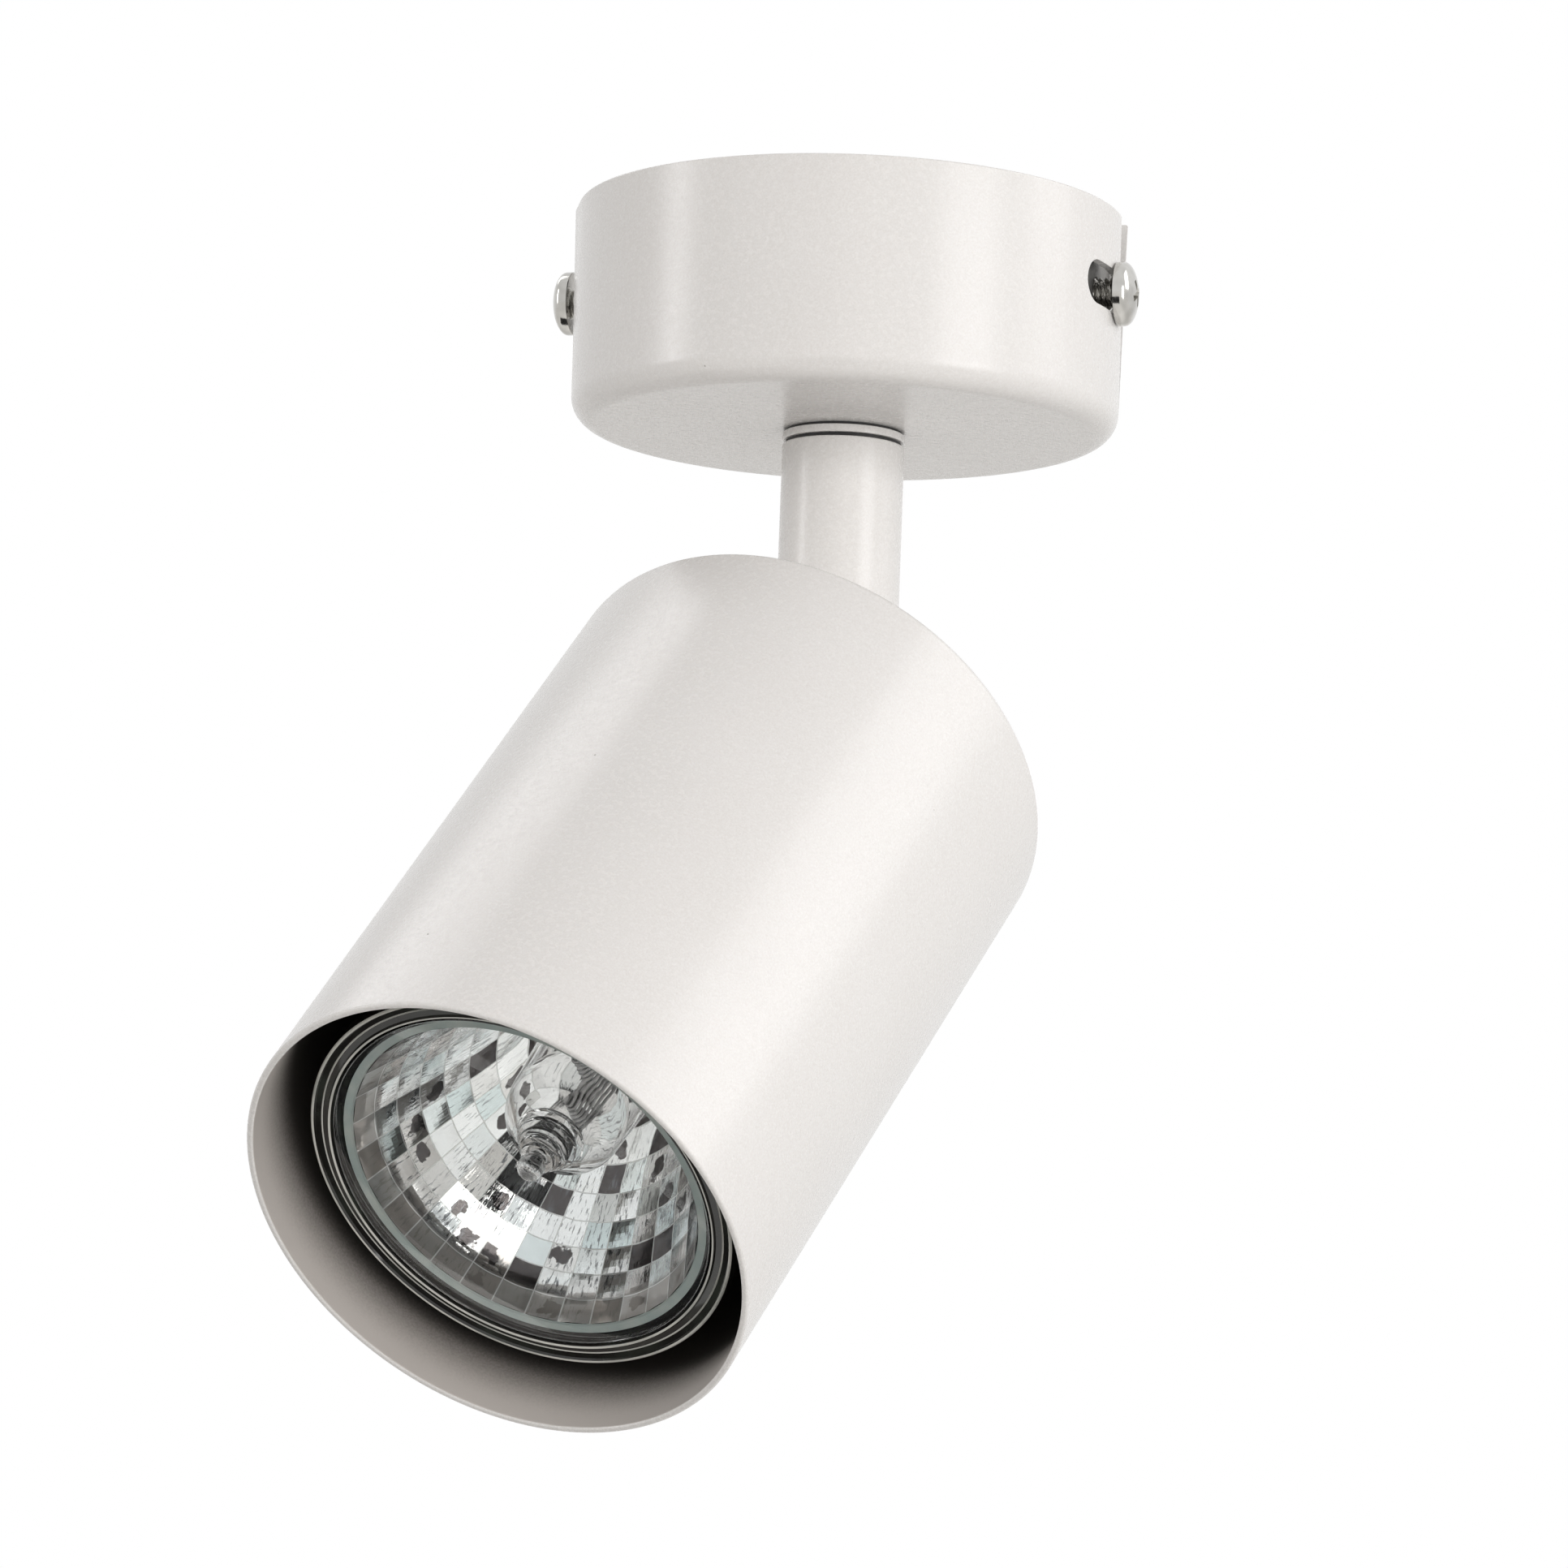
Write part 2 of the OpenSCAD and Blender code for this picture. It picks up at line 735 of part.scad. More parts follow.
// A stem lead drops through nipple and tube, enters the knuckle and winds round the pivot to the head's side
module stem_lead(i) {
    y = lead_row[i];
    across = lead_row[0] + lead_row[2];
    turn = 180 - rest_tilt;
    top = nipple_top - pivot_z;
    leave = tube_top - insert_l - pivot_z;
    wind = [for (a = [24 : 11 : turn - 4])
        [lead_ring_r * sin(a), y - across * (a - 24) / (turn - 28), lead_ring_r * cos(a)]];
    at_stem()
        lead(concat(
            route([
                [0, nipple_row[i], top],
                [0, nipple_row[i], (top + leave) / 2],
                [0, (nipple_row[i] + y) / 2, (leave + tube_end) / 2],
                [-0.6, y, tube_end + 1],
                [-0.9, y, ledge - 1],
                [-0.1, y, lead_ring_r + 0.9]
            ], 3),
            wind), [0, 1, 0.02]);
}

module stem_live_lead() {
    color("saddlebrown")
        stem_lead(0);
}

module stem_earth_lead() {
    color("yellowgreen")
        stem_lead(1);
}

module stem_neutral_lead() {
    color("royalblue")
        stem_lead(2);
}

// Head: everything that tilts

module lower_knuckle() {
    color("white")
        at_head() {
            rotate([180, 0, 0])
                knuckle_half();
            difference() {
                union() {
                    translate([0, 0, head_top])
                        cylinder(r = stem_r, h = lower_flange_t);
                    translate([0, 0, shank_end])
                        cylinder(r = nipple_r, h = head_top - shank_end + eps);
                }
                translate([0, 0, shank_end - 1])
                    cylinder(r = nipple_bore_r, h = head_top - shank_end + 1.8);
                translate([-lead_slot_x, -spigot_bore_r, head_top + 0.4])
                    cube([2 * lead_slot_x, 1 + spigot_bore_r, lower_flange_t + 1]);
            }
        }
}

module head_shell() {
    outer = [for (a = [90 : -15 : 0])
        [head_r - head_edge_r + head_edge_r * cos(a), head_top - head_edge_r + head_edge_r * sin(a)]];
    hole = nipple_r + fit_gap;
    color("white")
        at_head()
            rotate_extrude($fn = 180)
                polygon(concat(
                    [[hole, head_top]],
                    outer,
                    [[head_r, head_rim], [head_r - head_wall, head_rim], [head_r - head_wall, bracket_top],
                     [hole, bracket_top]]));
}

module lamp_bracket() {
    hang = bracket_top - holder_top;
    color("silver")
        at_head()
            difference() {
                union() {
                    translate([-leg_x, -bracket_w / 2, bracket_top - bracket_t])
                        cube([2 * leg_x, bracket_w, bracket_t]);
                    for (side = [0, 180])
                        rotate([0, 0, side]) {
                            translate([leg_x - bracket_t, -bracket_w / 2, holder_top])
                                cube([bracket_t, bracket_w, hang]);
                            translate([holder_screw_x - foot_reach, -bracket_w / 2, holder_top])
                                cube([leg_x - holder_screw_x + foot_reach, bracket_w, bracket_t]);
                        }
                }
                translate([0, 0, bracket_top - bracket_t - 1])
                    cylinder(r = nipple_r + fit_gap, h = bracket_t + 2);
                for (side = [-1, 1])
                    translate([side * holder_screw_x, 0, holder_top - 1])
                        cylinder(r = holder_screw_d / 2 + fit_gap, h = bracket_t + 2);
                translate([leg_x - bracket_t - 1, 0, leg_screw_z])
                    rotate([0, 90, 0])
                        cylinder(r = leg_screw_d / 2 + fit_gap, h = bracket_t + 2);
            }
}

module shank_washer() {
    color("silver")
        at_head()
            pipe(washer_r, nipple_r + fit_gap, shank_nut_top, shank_washer_top);
}

module shank_nut() {
    color("silver")
        at_head()
            translate([0, 0, shank_nut_top - nut_h])
                hex_nut(nut_af, nut_h, nipple_r + fit_gap);
}

// Sector of a ring about Z, from bearing a to bearing b (under 180 degrees)
module sector(ro, ri, low, high, a, b) {
    far = 2 * ro;
    intersection() {
        pipe(ro, ri, low, high);
        translate([0, 0, low - 1])
            linear_extrude(high - low + 2)
                polygon([[0, 0], far * [cos(a), sin(a)], far * [cos((a + b) / 2), sin((a + b) / 2)],
                         far * [cos(b), sin(b)]]);
    }
}

pin_track = pin_pitch / 2;
track_half = pin_neck_d / 2 + 0.25;
foot_half = pin_foot_d / 2 + 0.3;
contact_r = pin_track + foot_half;
contact_t = 0.5;
pocket_r = contact_r + contact_t + 0.1;
pocket_low = holder_front + holder_front_t;
pocket_high = holder_front + pin_l + 0.6;
tail_x = pin_track + 1.4;
contact_half_w = 1.5;
contact_in = 0.6;

// The pins stand on the Y axis when the lamp is locked and leave the keyholes at lock_twist
module holder_body() {
    color("ghostwhite")
        at_head()
            difference() {
                translate([0, 0, holder_front])
                    cylinder(r = holder_d / 2, h = holder_h);
                pipe(pocket_r, pin_track - foot_half, pocket_low, pocket_high);
                for (side = [90, 270]) {
                    sector(pin_track + track_half, pin_track - track_half, holder_front - 1, pocket_low + 0.5,
                           side, side + lock_twist);
                    rotate([0, 0, side])
                        translate([pin_track, 0, holder_front - 1])
                            cylinder(r = track_half, h = holder_front_t + 2);
                    rotate([0, 0, side + lock_twist])
                        translate([pin_track, 0, holder_front - 1])
                            cylinder(r = foot_half, h = holder_front_t + 2);
                    rotate([0, 0, side])
                        translate([tail_x, 0, pocket_high - 1])
                            cylinder(r = lead_d / 2 + 0.25, h = holder_h);
                }
                for (side = [-1, 1])
                    translate([side * holder_screw_x, 0, holder_top - holder_screw_grip - 0.5])
                        cylinder(r = holder_screw_d / 2 + fit_gap, h = holder_screw_grip + 1.5);
            }
}

module holder_contacts() {
    color("goldenrod")
        at_head()
            for (side = [90, 270]) {
                sector(pocket_r - 0.05, contact_r, pocket_low + 0.1, pocket_high - 0.05, side - 22, side + 22);
                rotate([0, 0, side])
                    translate([pin_track + contact_in, -contact_half_w, pocket_high - 0.35])
                        cube([foot_half - contact_in + 0.2, 2 * contact_half_w, 0.3]);
            }
}

module holder_screws() {
    color("silver")
        at_head()
            for (side = [-1, 1])
                translate([side * holder_screw_x, 0, holder_top + bracket_t])
                    pan_screw(holder_screw_d, bracket_t + holder_screw_grip);
}

module head_earth_screw() {
    color("goldenrod")
        at_head()
            translate([leg_x - bracket_t - ring_t, 0, leg_screw_z])
                rotate([0, -90, 0])
                    pan_screw(leg_screw_d, bracket_t + ring_t + 1.5);
}

// A head lead leaves the knuckle's chamber, drops through the shank and ends in the holder
module holder_lead(i, side) {
    y = -lead_row[2 - i];
    exit = -(chamber_r - 0.3);
    at_head()
        lead(route([
            [0, y, exit],
            [0, y * 0.98, exit - 0.9],
            [0, shank_row[2 - i], head_top - 0.3],
            [0, shank_row[2 - i], shank_end],
            [0, (shank_row[2 - i] + side * tail_x) / 2, (shank_end + holder_top) / 2 - 0.2],
            [0, side * tail_x, holder_top + 0.3],
            [0, side * tail_x, pocket_high]
        ], 4), [1, 0, 0]);
}

module head_live_lead() {
    color("saddlebrown")
        holder_lead(0, -1);
}

module head_neutral_lead() {
    color("royalblue")
        holder_lead(2, 1);
}

module head_earth_lead() {
    ring_x = leg_x - bracket_t - ring_t;
    tag_y = -(terminal_r + 2.4);
    seat_x = ring_x + 0.1 - lead_d / 2;
    y = -lead_row[1];
    exit = -(chamber_r - 0.3);
    color("yellowgreen")
        at_head() {
            translate([ring_x, 0, leg_screw_z])
                difference() {
                    union() {
                        rotate([0, 90, 0])
                            cylinder(r = terminal_r, h = ring_t);
                        translate([0, tag_y, -1.2])
                            cube([ring_t, -tag_y, 2.4]);
                    }
                    translate([-1, 0, 0])
                        rotate([0, 90, 0])
                            cylinder(r = leg_screw_d / 2 + fit_gap, h = ring_t + 2);
                }
            lead(route([
                [0, y, exit],
                [0, y * 0.98, exit - 0.9],
                [0, shank_row[1], head_top - 0.3],
                [0, shank_row[1], shank_end],
                [0.1 * ring_x, shank_row[1] - 0.8, shank_end - 1.2],
                [0.34 * ring_x, -5.2, shank_end - 1.3],
                [0.6 * ring_x, tag_y - 2.2, shank_end - 0.7],
                [seat_x - 1.5, tag_y - 2.3, leg_screw_z - 0.3],
                [seat_x, tag_y - 0.2, leg_screw_z],
                [seat_x, tag_y + 1.5, leg_screw_z]
            ], 4), [0.02, 1, 0.3]);
        }
}

// Lamp: reflector, front glass, capsule and base, which twist together in the holder

function back(depth) = lamp_front + depth;
function mirror_at(r) = glass_seat + mirror_depth * (mirror_r * mirror_r - r * r)
    / (mirror_r * mirror_r - mirror_neck_r * mirror_neck_r);
function bowl_at(r) = bowl_start + (bowl_end - bowl_start) * (bowl_back_r * bowl_back_r - r * r)
    / (bowl_back_r * bowl_back_r - neck_outer_r * neck_outer_r);

module lamp_reflector() {
    outer = [for (k = [0 : 12])
        let (r = bowl_back_r + (neck_outer_r - bowl_back_r) * k / 12) [r, back(bowl_at(r))]];
    inner = [for (k = [0 : 12])
        let (r = mirror_neck_r + (mirror_r - mirror_neck_r) * k / 12) [r, back(mirror_at(r))]];
    color("lightsteelblue", 0.6)
        at_head()
            rotate_extrude($fn = 180)
                polygon(concat(
                    [[lamp_r, back(0)], [lamp_r, back(rim_depth)]],
                    outer,
                    [[neck_outer_r, back(neck_end)], [mirror_neck_r, back(neck_end)]],
                    inner,
                    [[glass_r + fit_gap, back(glass_seat)], [glass_r + fit_gap, back(0)]]));
}

module lamp_front_glass() {
    color("azure", 0.3)
        at_head()
            translate([0, 0, back(glass_set)])
                cylinder(r = glass_r, h = glass_t - slide_gap);
}

// Quartz capsule: round nib, stepped cone, domed shoulder, straight body and a flat pinch
module lamp_capsule() {
    dome_h = 3.0;
    cone_r = 3.4;
    cavity_r = capsule_r - quartz;
    nib_back = nib_tip + 2 * nib_r;
    nib = [for (a = [0 : 20 : 140]) [nib_r * sin(a), back(nib_tip + nib_r - nib_r * cos(a))]];
    cone = [for (k = [0 : 3])
        [nib_r + (cone_r - nib_r) * (k + 1) / 4, back(nib_back + (shoulder - dome_h - nib_back) * (k + 0.6) / 4)]];
    outer = [for (a = [15 : 15 : 90]) [cone_r + (capsule_r - cone_r) * sin(a), back(shoulder - dome_h * cos(a))]];
    inner = [for (a = [0 : 15 : 90]) [cavity_r * sin(a), back(shoulder + quartz - dome_h * cos(a))]];
    color("azure", 0.4)
        at_head() {
            difference() {
                rotate_extrude()
                    polygon(concat(nib, cone, outer, [[capsule_r, back(capsule_end)], [0, back(capsule_end)]]));
                rotate_extrude()
                    polygon(concat(inner, [[cavity_r, back(capsule_end - 1)], [0, back(capsule_end - 1)]]));
            }
            translate([-capsule_r * 0.9, -pinch_t / 2, back(capsule_end - eps)])
                cube([capsule_r * 1.8, pinch_t, pinch_l + eps]);
        }
}

// Filament coil across the capsule with its two support wires
module lamp_filament() {
    coil_z = back(filament_depth);
    color("dimgray")
        at_head() {
            translate([-coil_half, 0, coil_z])
                rotate([0, 90, 0])
                    cylinder(r = coil_r, h = 2 * coil_half, $fn = 24);
            for (side = [-1, 1])
                translate([side * coil_half, 0, coil_z - coil_r])
                    cylinder(r = support_r, h = back(capsule_end - 1) - coil_z + coil_r, $fn = 24);
        }
}

module lamp_base() {
    color("whitesmoke")
        at_head()
            difference() {
                translate([0, 0, back(base_start)])
                    cylinder(r = base_r, h = lamp_l - base_start);
                translate([0, 0, back(base_start) - 1])
                    cylinder(r = neck_outer_r + fit_gap, h = cup_end - base_start + 1);
                for (side = [-1, 1])
                    translate([0, side * pin_track, back(lamp_l) - pin_root - 0.2])
                        cylinder(r = pin_neck_d / 2 + fit_gap, h = pin_root + 1.2);
            }
}

module lamp_pins() {
    color("silver")
        at_head()
            for (side = [-1, 1])
                translate([0, side * pin_track, 0]) {
                    translate([0, 0, back(lamp_l) - pin_root])
                        cylinder(r = pin_neck_d / 2, h = pin_root + pin_l - pin_foot_h + eps);
                    translate([0, 0, back(lamp_l) + pin_l - pin_foot_h])
                        cylinder(r = pin_foot_d / 2, h = pin_foot_h);
                }
}

ceiling_bracket();
canopy();
canopy_screws();
collar();
terminal_block();
terminal_clamps();
terminal_screws();
block_screw();
earth_screw();
bracket_earth_lead();
canopy_live_lead();
canopy_neutral_lead();
canopy_earth_lead();
gasket_ring();
stem_tube();
stem_insert();
nipple();
thrust_washer();
spring_washer();
locknut();
upper_knuckle();
friction_washer();
pivot_screw();
pivot_nut();
stem_live_lead();
stem_neutral_lead();
stem_earth_lead();
lower_knuckle();
head_shell();
lamp_bracket();
shank_washer();
shank_nut();
holder_body();
holder_contacts();
holder_screws();
head_earth_screw();
head_live_lead();
head_neutral_lead();
head_earth_lead();
lamp_reflector();
lamp_front_glass();
lamp_capsule();
lamp_filament();
lamp_base();
lamp_pins();
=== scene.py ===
"""Ceiling spotlight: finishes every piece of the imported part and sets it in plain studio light."""
import json
import logging
import math
from collections.abc import Callable, Iterable, Sequence
from dataclasses import dataclass, field
from enum import Enum
from functools import cache
from typing import ClassVar

import bmesh
import bpy
from mathutils import Matrix, Vector


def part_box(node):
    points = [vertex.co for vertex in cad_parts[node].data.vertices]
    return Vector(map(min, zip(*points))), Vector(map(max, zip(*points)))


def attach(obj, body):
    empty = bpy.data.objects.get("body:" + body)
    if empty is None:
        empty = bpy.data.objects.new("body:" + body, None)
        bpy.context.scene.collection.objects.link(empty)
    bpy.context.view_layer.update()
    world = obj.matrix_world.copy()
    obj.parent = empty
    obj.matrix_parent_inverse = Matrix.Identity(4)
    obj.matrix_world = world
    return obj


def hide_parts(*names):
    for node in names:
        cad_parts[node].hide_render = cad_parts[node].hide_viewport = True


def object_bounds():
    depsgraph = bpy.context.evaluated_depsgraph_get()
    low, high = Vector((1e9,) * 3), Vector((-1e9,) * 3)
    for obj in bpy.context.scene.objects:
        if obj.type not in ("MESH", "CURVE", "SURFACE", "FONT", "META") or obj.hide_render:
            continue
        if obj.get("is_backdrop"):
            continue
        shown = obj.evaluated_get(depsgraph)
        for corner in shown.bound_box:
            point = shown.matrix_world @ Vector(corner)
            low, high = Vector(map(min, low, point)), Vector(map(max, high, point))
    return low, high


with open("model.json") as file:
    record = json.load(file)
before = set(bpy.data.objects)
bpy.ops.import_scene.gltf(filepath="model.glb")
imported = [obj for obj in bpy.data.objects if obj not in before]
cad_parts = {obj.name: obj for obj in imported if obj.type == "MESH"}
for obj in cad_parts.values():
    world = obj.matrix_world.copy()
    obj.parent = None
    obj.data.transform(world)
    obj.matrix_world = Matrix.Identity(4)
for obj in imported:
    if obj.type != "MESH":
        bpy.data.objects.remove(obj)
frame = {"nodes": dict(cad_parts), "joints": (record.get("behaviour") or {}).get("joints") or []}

MM = 0.001
SMOOTH_LIMIT = math.radians(32)
THREAD_LIMIT = math.radians(45)
SCREW_LIMIT = math.radians(40)
WIRE_LIMIT = math.radians(50)
SEAM_GAP = 0.001
log = logging.getLogger("spotlight")

Point = tuple[float, float]
Corner = tuple[float, float, float]
Colour = tuple[float, float, float]


class Body(str, Enum):
    """Bodies of the part that pieces ride on."""

    CANOPY = "canopy_assembly"
    STEM = "stem"
    HEAD = "head"
    LAMP = "lamp"


class Slot(str, Enum):
    """Material slots of the record."""

    PAINT = "white_paint"
    NICKEL = "nickel"
    ZINC = "zinc_steel"
    SPRING = "spring_steel"
    BRASS = "brass"
    BLOCK = "block_plastic"
    FIBRE = "fibre"
    RUBBER = "gasket_rubber"
    LIVE = "lead_live"
    NEUTRAL = "lead_neutral"
    EARTH = "lead_earth"
    CERAMIC = "ceramic"
    MIRROR = "mirror_glass"
    GLASS = "clear_glass"
    QUARTZ = "quartz"
    TUNGSTEN = "tungsten"


@dataclass(frozen=True)
class Span:
    """Extent of a CAD node along and round an axis, in millimetres."""

    low: float
    high: float
    inner: float
    outer: float


@dataclass(frozen=True)
class Seat:
    """A place that round pieces are turned about: local Z runs along the axis."""

    matrix: Matrix

    def place(self) -> Matrix:
        """Matrix from local millimetres to the part's metres."""
        return self.matrix @ Matrix.Scale(MM, 4)

    def span(self, node: str) -> Span:
        """Measure a CAD node about this axis.

        Args:
            node: Name of the CAD node.

        Returns:
            Its extent along the axis and its least and greatest radius.
        """
        inverse = self.place().inverted()
        points = [inverse @ vert.co for vert in frame["nodes"][node].data.vertices]
        radii = [point.xy.length for point in points]
        heights = [point.z for point in points]
        return Span(min(heights), max(heights), min(radii), max(radii))

    def out(self, x: float, y: float, z: float) -> Vector:
        """Point of the part's frame for a local point in millimetres."""
        return self.place() @ Vector((x, y, z))


UPRIGHT = Seat(Matrix.Identity(4))


def joint(name: str) -> dict:
    """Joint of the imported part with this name."""
    return next(j for j in frame["joints"] if j["name"] == name)


def head_seat() -> Seat:
    """Seat at the tilt pivot: the head hangs along -Z and Y is the pivot screw's axis.

    Returns:
        The seat.
    """
    up = Vector(joint("lamp_twist")["axis"]).normalized()
    across = -Vector(joint("tilt")["axis"]).normalized()
    side = across.cross(up).normalized()
    turn = Matrix((side, across, up)).transposed().to_4x4()
    return Seat(Matrix.Translation(Vector(joint("tilt")["pos_m"])) @ turn)


def lamp_seat() -> Seat:
    """Seat at the middle of the lamp's front: Z is the depth behind it."""
    seat = head_seat()
    return Seat(seat.matrix @ Matrix.Translation((0, 0, seat.span("lamp_reflector").low * MM)))


def outline(corners: Sequence[Corner], steps: int = 5) -> list[Point]:
    """Closed outline with rounded corners.

    Args:
        corners: Radius, height and rounding of each corner, in order round the section.
        steps: Segments of each rounding.

    Returns:
        Points of the outline, in millimetres.
    """
    points: list[Point] = []
    for i, (r, z, rounding) in enumerate(corners):
        here = Vector((r, z))
        if rounding == 0:
            points.append((r, z))
            continue
        before = (Vector(corners[i - 1][:2]) - here).normalized()
        after = (Vector(corners[(i + 1) % len(corners)][:2]) - here).normalized()
        half = before.angle(after) / 2
        reach = rounding / math.tan(half)
        centre = here + (before + after).normalized() * rounding / math.sin(half)
        first = here + before * reach - centre
        last = here + after * reach - centre
        begin = math.atan2(first.y, first.x)
        sweep = (math.atan2(last.y, last.x) - begin + math.pi) % math.tau - math.pi
        for k in range(steps + 1):
            angle = begin + sweep * k / steps
            points.append((centre.x + rounding * math.cos(angle), centre.y + rounding * math.sin(angle)))
    return points


def bulge(radius: float, rise: float, angles: Iterable[float], middle: Point = (0.0, 0.0)) -> list[Point]:
    """Points of a section on an oval.

    Args:
        radius: Half width of the oval.
        rise: Half height of the oval.
        angles: Degrees from its low end, outwards and up.
        middle: Radius and height of its middle.

    Returns:
        The points, in millimetres.
    """
    turns = [math.radians(angle) for angle in angles]
    return [(middle[0] + radius * math.sin(turn), middle[1] - rise * math.cos(turn)) for turn in turns]


def new_piece(name: str, mesh: bpy.types.Mesh) -> bpy.types.Object:
    """Put a mesh in the scene.

    Args:
        name: Name of the piece.
        mesh: Its mesh, which holds its place.

    Returns:
        The piece, with its object at the origin.
    """
    piece = bpy.data.objects.new(name, mesh)
    bpy.context.scene.collection.objects.link(piece)
    return piece


def shade(mesh: bpy.types.Mesh, limit: float = SMOOTH_LIMIT) -> None:
    """Shade a mesh smooth with sharp edges past an angle."""
    mesh.shade_smooth()
    mesh.set_sharp_from_angle(angle=limit)


def worked(work: bmesh.types.BMesh, name: str, place: Matrix = UPRIGHT.matrix, limit: float | None = None
           ) -> bpy.types.Object:
    """Turn a worked mesh into a piece.

    Args:
        work: The worked mesh, which is freed.
        name: Name of the piece.
        place: Matrix from the mesh to the part's metres.
        limit: Angle past which edges are sharp, or None to keep the shading.

    Returns:
        The piece.
    """
    mesh = bpy.data.meshes.new(name)
    work.to_mesh(mesh)
    work.free()
    mesh.transform(place)
    if limit:
        shade(mesh, limit)
    return new_piece(name, mesh)


def lathe(name: str, section: Sequence[Point], seat: Seat, segments: int = 192, closed: bool = True
          ) -> bpy.types.Object:
    """Turn a section about a seat's axis.

    Args:
        name: Name of the new piece.
        section: Radius and height of each point, in millimetres; a radius of 0 is a pole.
        seat: Axis to turn about.
        segments: Steps round the axis.
        closed: Whether the last point joins the first.

    Returns:
        The new piece, with its place in its mesh.
    """
    work = bmesh.new()
    turns = [math.tau * k / segments for k in range(segments)]
    rings = [[work.verts.new((r * math.cos(turn), r * math.sin(turn), z))
              for turn in (turns[:1] if r < 1e-6 else turns)] for r, z in section]
    for low, high in zip(rings, rings[1:] + (rings[:1] if closed else [])):
        if len(low) == len(high) == 1:
            continue
        for k in range(segments):
            m = (k + 1) % segments
            loop = [low[k % len(low)], low[m % len(low)], high[m % len(high)], high[k % len(high)]]
            work.faces.new(list(dict.fromkeys(loop)))
    bmesh.ops.recalc_face_normals(work, faces=work.faces)
    return worked(work, name, seat.place(), SMOOTH_LIMIT)


def loft(name: str, rings: Sequence[Sequence[Vector]], place: Matrix = UPRIGHT.matrix,
         limit: float | None = None) -> bpy.types.Object:
    """Close a skin over rings of points, with a cap at each end.

    Args:
        name: Name of the new piece.
        rings: Points of each ring, as many in one as in the next.
        place: Matrix from the points to the part's metres.
        limit: Angle past which edges are sharp, or None for flat faces.

    Returns:
        The closed piece.
    """
    work = bmesh.new()
    rows = [[work.verts.new(point) for point in ring] for ring in rings]
    for low, high in zip(rows, rows[1:]):
        for k in range(len(low)):
            work.faces.new([low[k - 1], low[k], high[k], high[k - 1]])
    for cap in (rows[0], rows[-1]):
        work.faces.new(cap)
    bmesh.ops.recalc_face_normals(work, faces=work.faces)
    return worked(work, name, place, limit)


def box(name: str, low: Vector, high: Vector, seat: Seat) -> bpy.types.Object:
    """Closed box between two local corners in millimetres."""
    floor = ((low.x, low.y), (high.x, low.y), (high.x, high.y), (low.x, high.y))
    return loft(name, [[Vector((*corner, z)) for corner in floor] for z in (low.z, high.z)], seat.place())


def tube(name: str, route: Sequence[Vector], radius: float, sides: int) -> bpy.types.Object:
    """Sweep a round wire along a route.

    Args:
        name: Name of the new piece.
        route: Centre points in the part's metres.
        radius: Radius of the wire in millimetres.
        sides: Points round the wire.

    Returns:
        The wire, closed at both ends.
    """
    rings = []
    turns = [math.tau * k / sides for k in range(sides)]
    side = (route[1] - route[0]).orthogonal()
    for i, point in enumerate(route):
        ahead = (route[min(i + 1, len(route) - 1)] - route[max(i - 1, 0)]).normalized()
        side = (side - ahead * side.dot(ahead)).normalized()
        other = ahead.cross(side)
        rings.append([point + radius * MM * (math.cos(turn) * side + math.sin(turn) * other)
                      for turn in turns])
    return loft(name, rings, limit=WIRE_LIMIT)


def merged(node: str) -> bpy.types.Object:
    """Copy a CAD node as one joined mesh whose flat faces are whole.

    Args:
        node: CAD node to copy.

    Returns:
        The copy, with no material.
    """
    work = bmesh.new()
    work.from_mesh(frame["nodes"][node].data)
    bmesh.ops.remove_doubles(work, verts=work.verts, dist=0.002 * MM)
    bmesh.ops.dissolve_limit(work, angle_limit=math.radians(0.8), verts=work.verts, edges=work.edges)
    return worked(work, node + "_piece", limit=SMOOTH_LIMIT)


def level_normals(piece: bpy.types.Object) -> None:
    """Weight a piece's normals by face area, so that flat faces stay flat beside roundings.

    Args:
        piece: Piece to finish.
    """
    weigh = piece.modifiers.new("face_weights", "WEIGHTED_NORMAL")
    weigh.keep_sharp = True
    weigh.weight = 80


def soften(piece: bpy.types.Object, width: float, segments: int = 2) -> None:
    """Round a piece's sharp edges and weight its normals.

    Args:
        piece: Piece to finish.
        width: Width of the rounding in millimetres.
        segments: Steps of the rounding.
    """
    bevel = piece.modifiers.new("soft_edges", "BEVEL")
    bevel.width = width * MM
    bevel.segments = segments
    bevel.limit_method = "ANGLE"
    bevel.angle_limit = math.radians(35)
    bevel.miter_outer = "MITER_ARC"
    bevel.use_clamp_overlap = True
    level_normals(piece)


def settle(piece: bpy.types.Object) -> None:
    """Turn a piece's modifiers into plain mesh.

    Args:
        piece: Piece to settle.
    """
    graph = bpy.context.evaluated_depsgraph_get()
    mesh = bpy.data.meshes.new_from_object(piece.evaluated_get(graph))
    piece.modifiers.clear()
    piece.data = mesh


def cut(piece: bpy.types.Object, tools: Iterable[bpy.types.Object]) -> None:
    """Cut tools out of a piece and remove the tools.

    Args:
        piece: Piece to cut.
        tools: Closed meshes to take away.
    """
    tools = list(tools)
    for tool in tools:
        slice_off = piece.modifiers.new("cut", "BOOLEAN")
        slice_off.object = tool
        slice_off.operation = "DIFFERENCE"
        slice_off.solver = "EXACT"
    settle(piece)
    for tool in tools:
        bpy.data.objects.remove(tool)


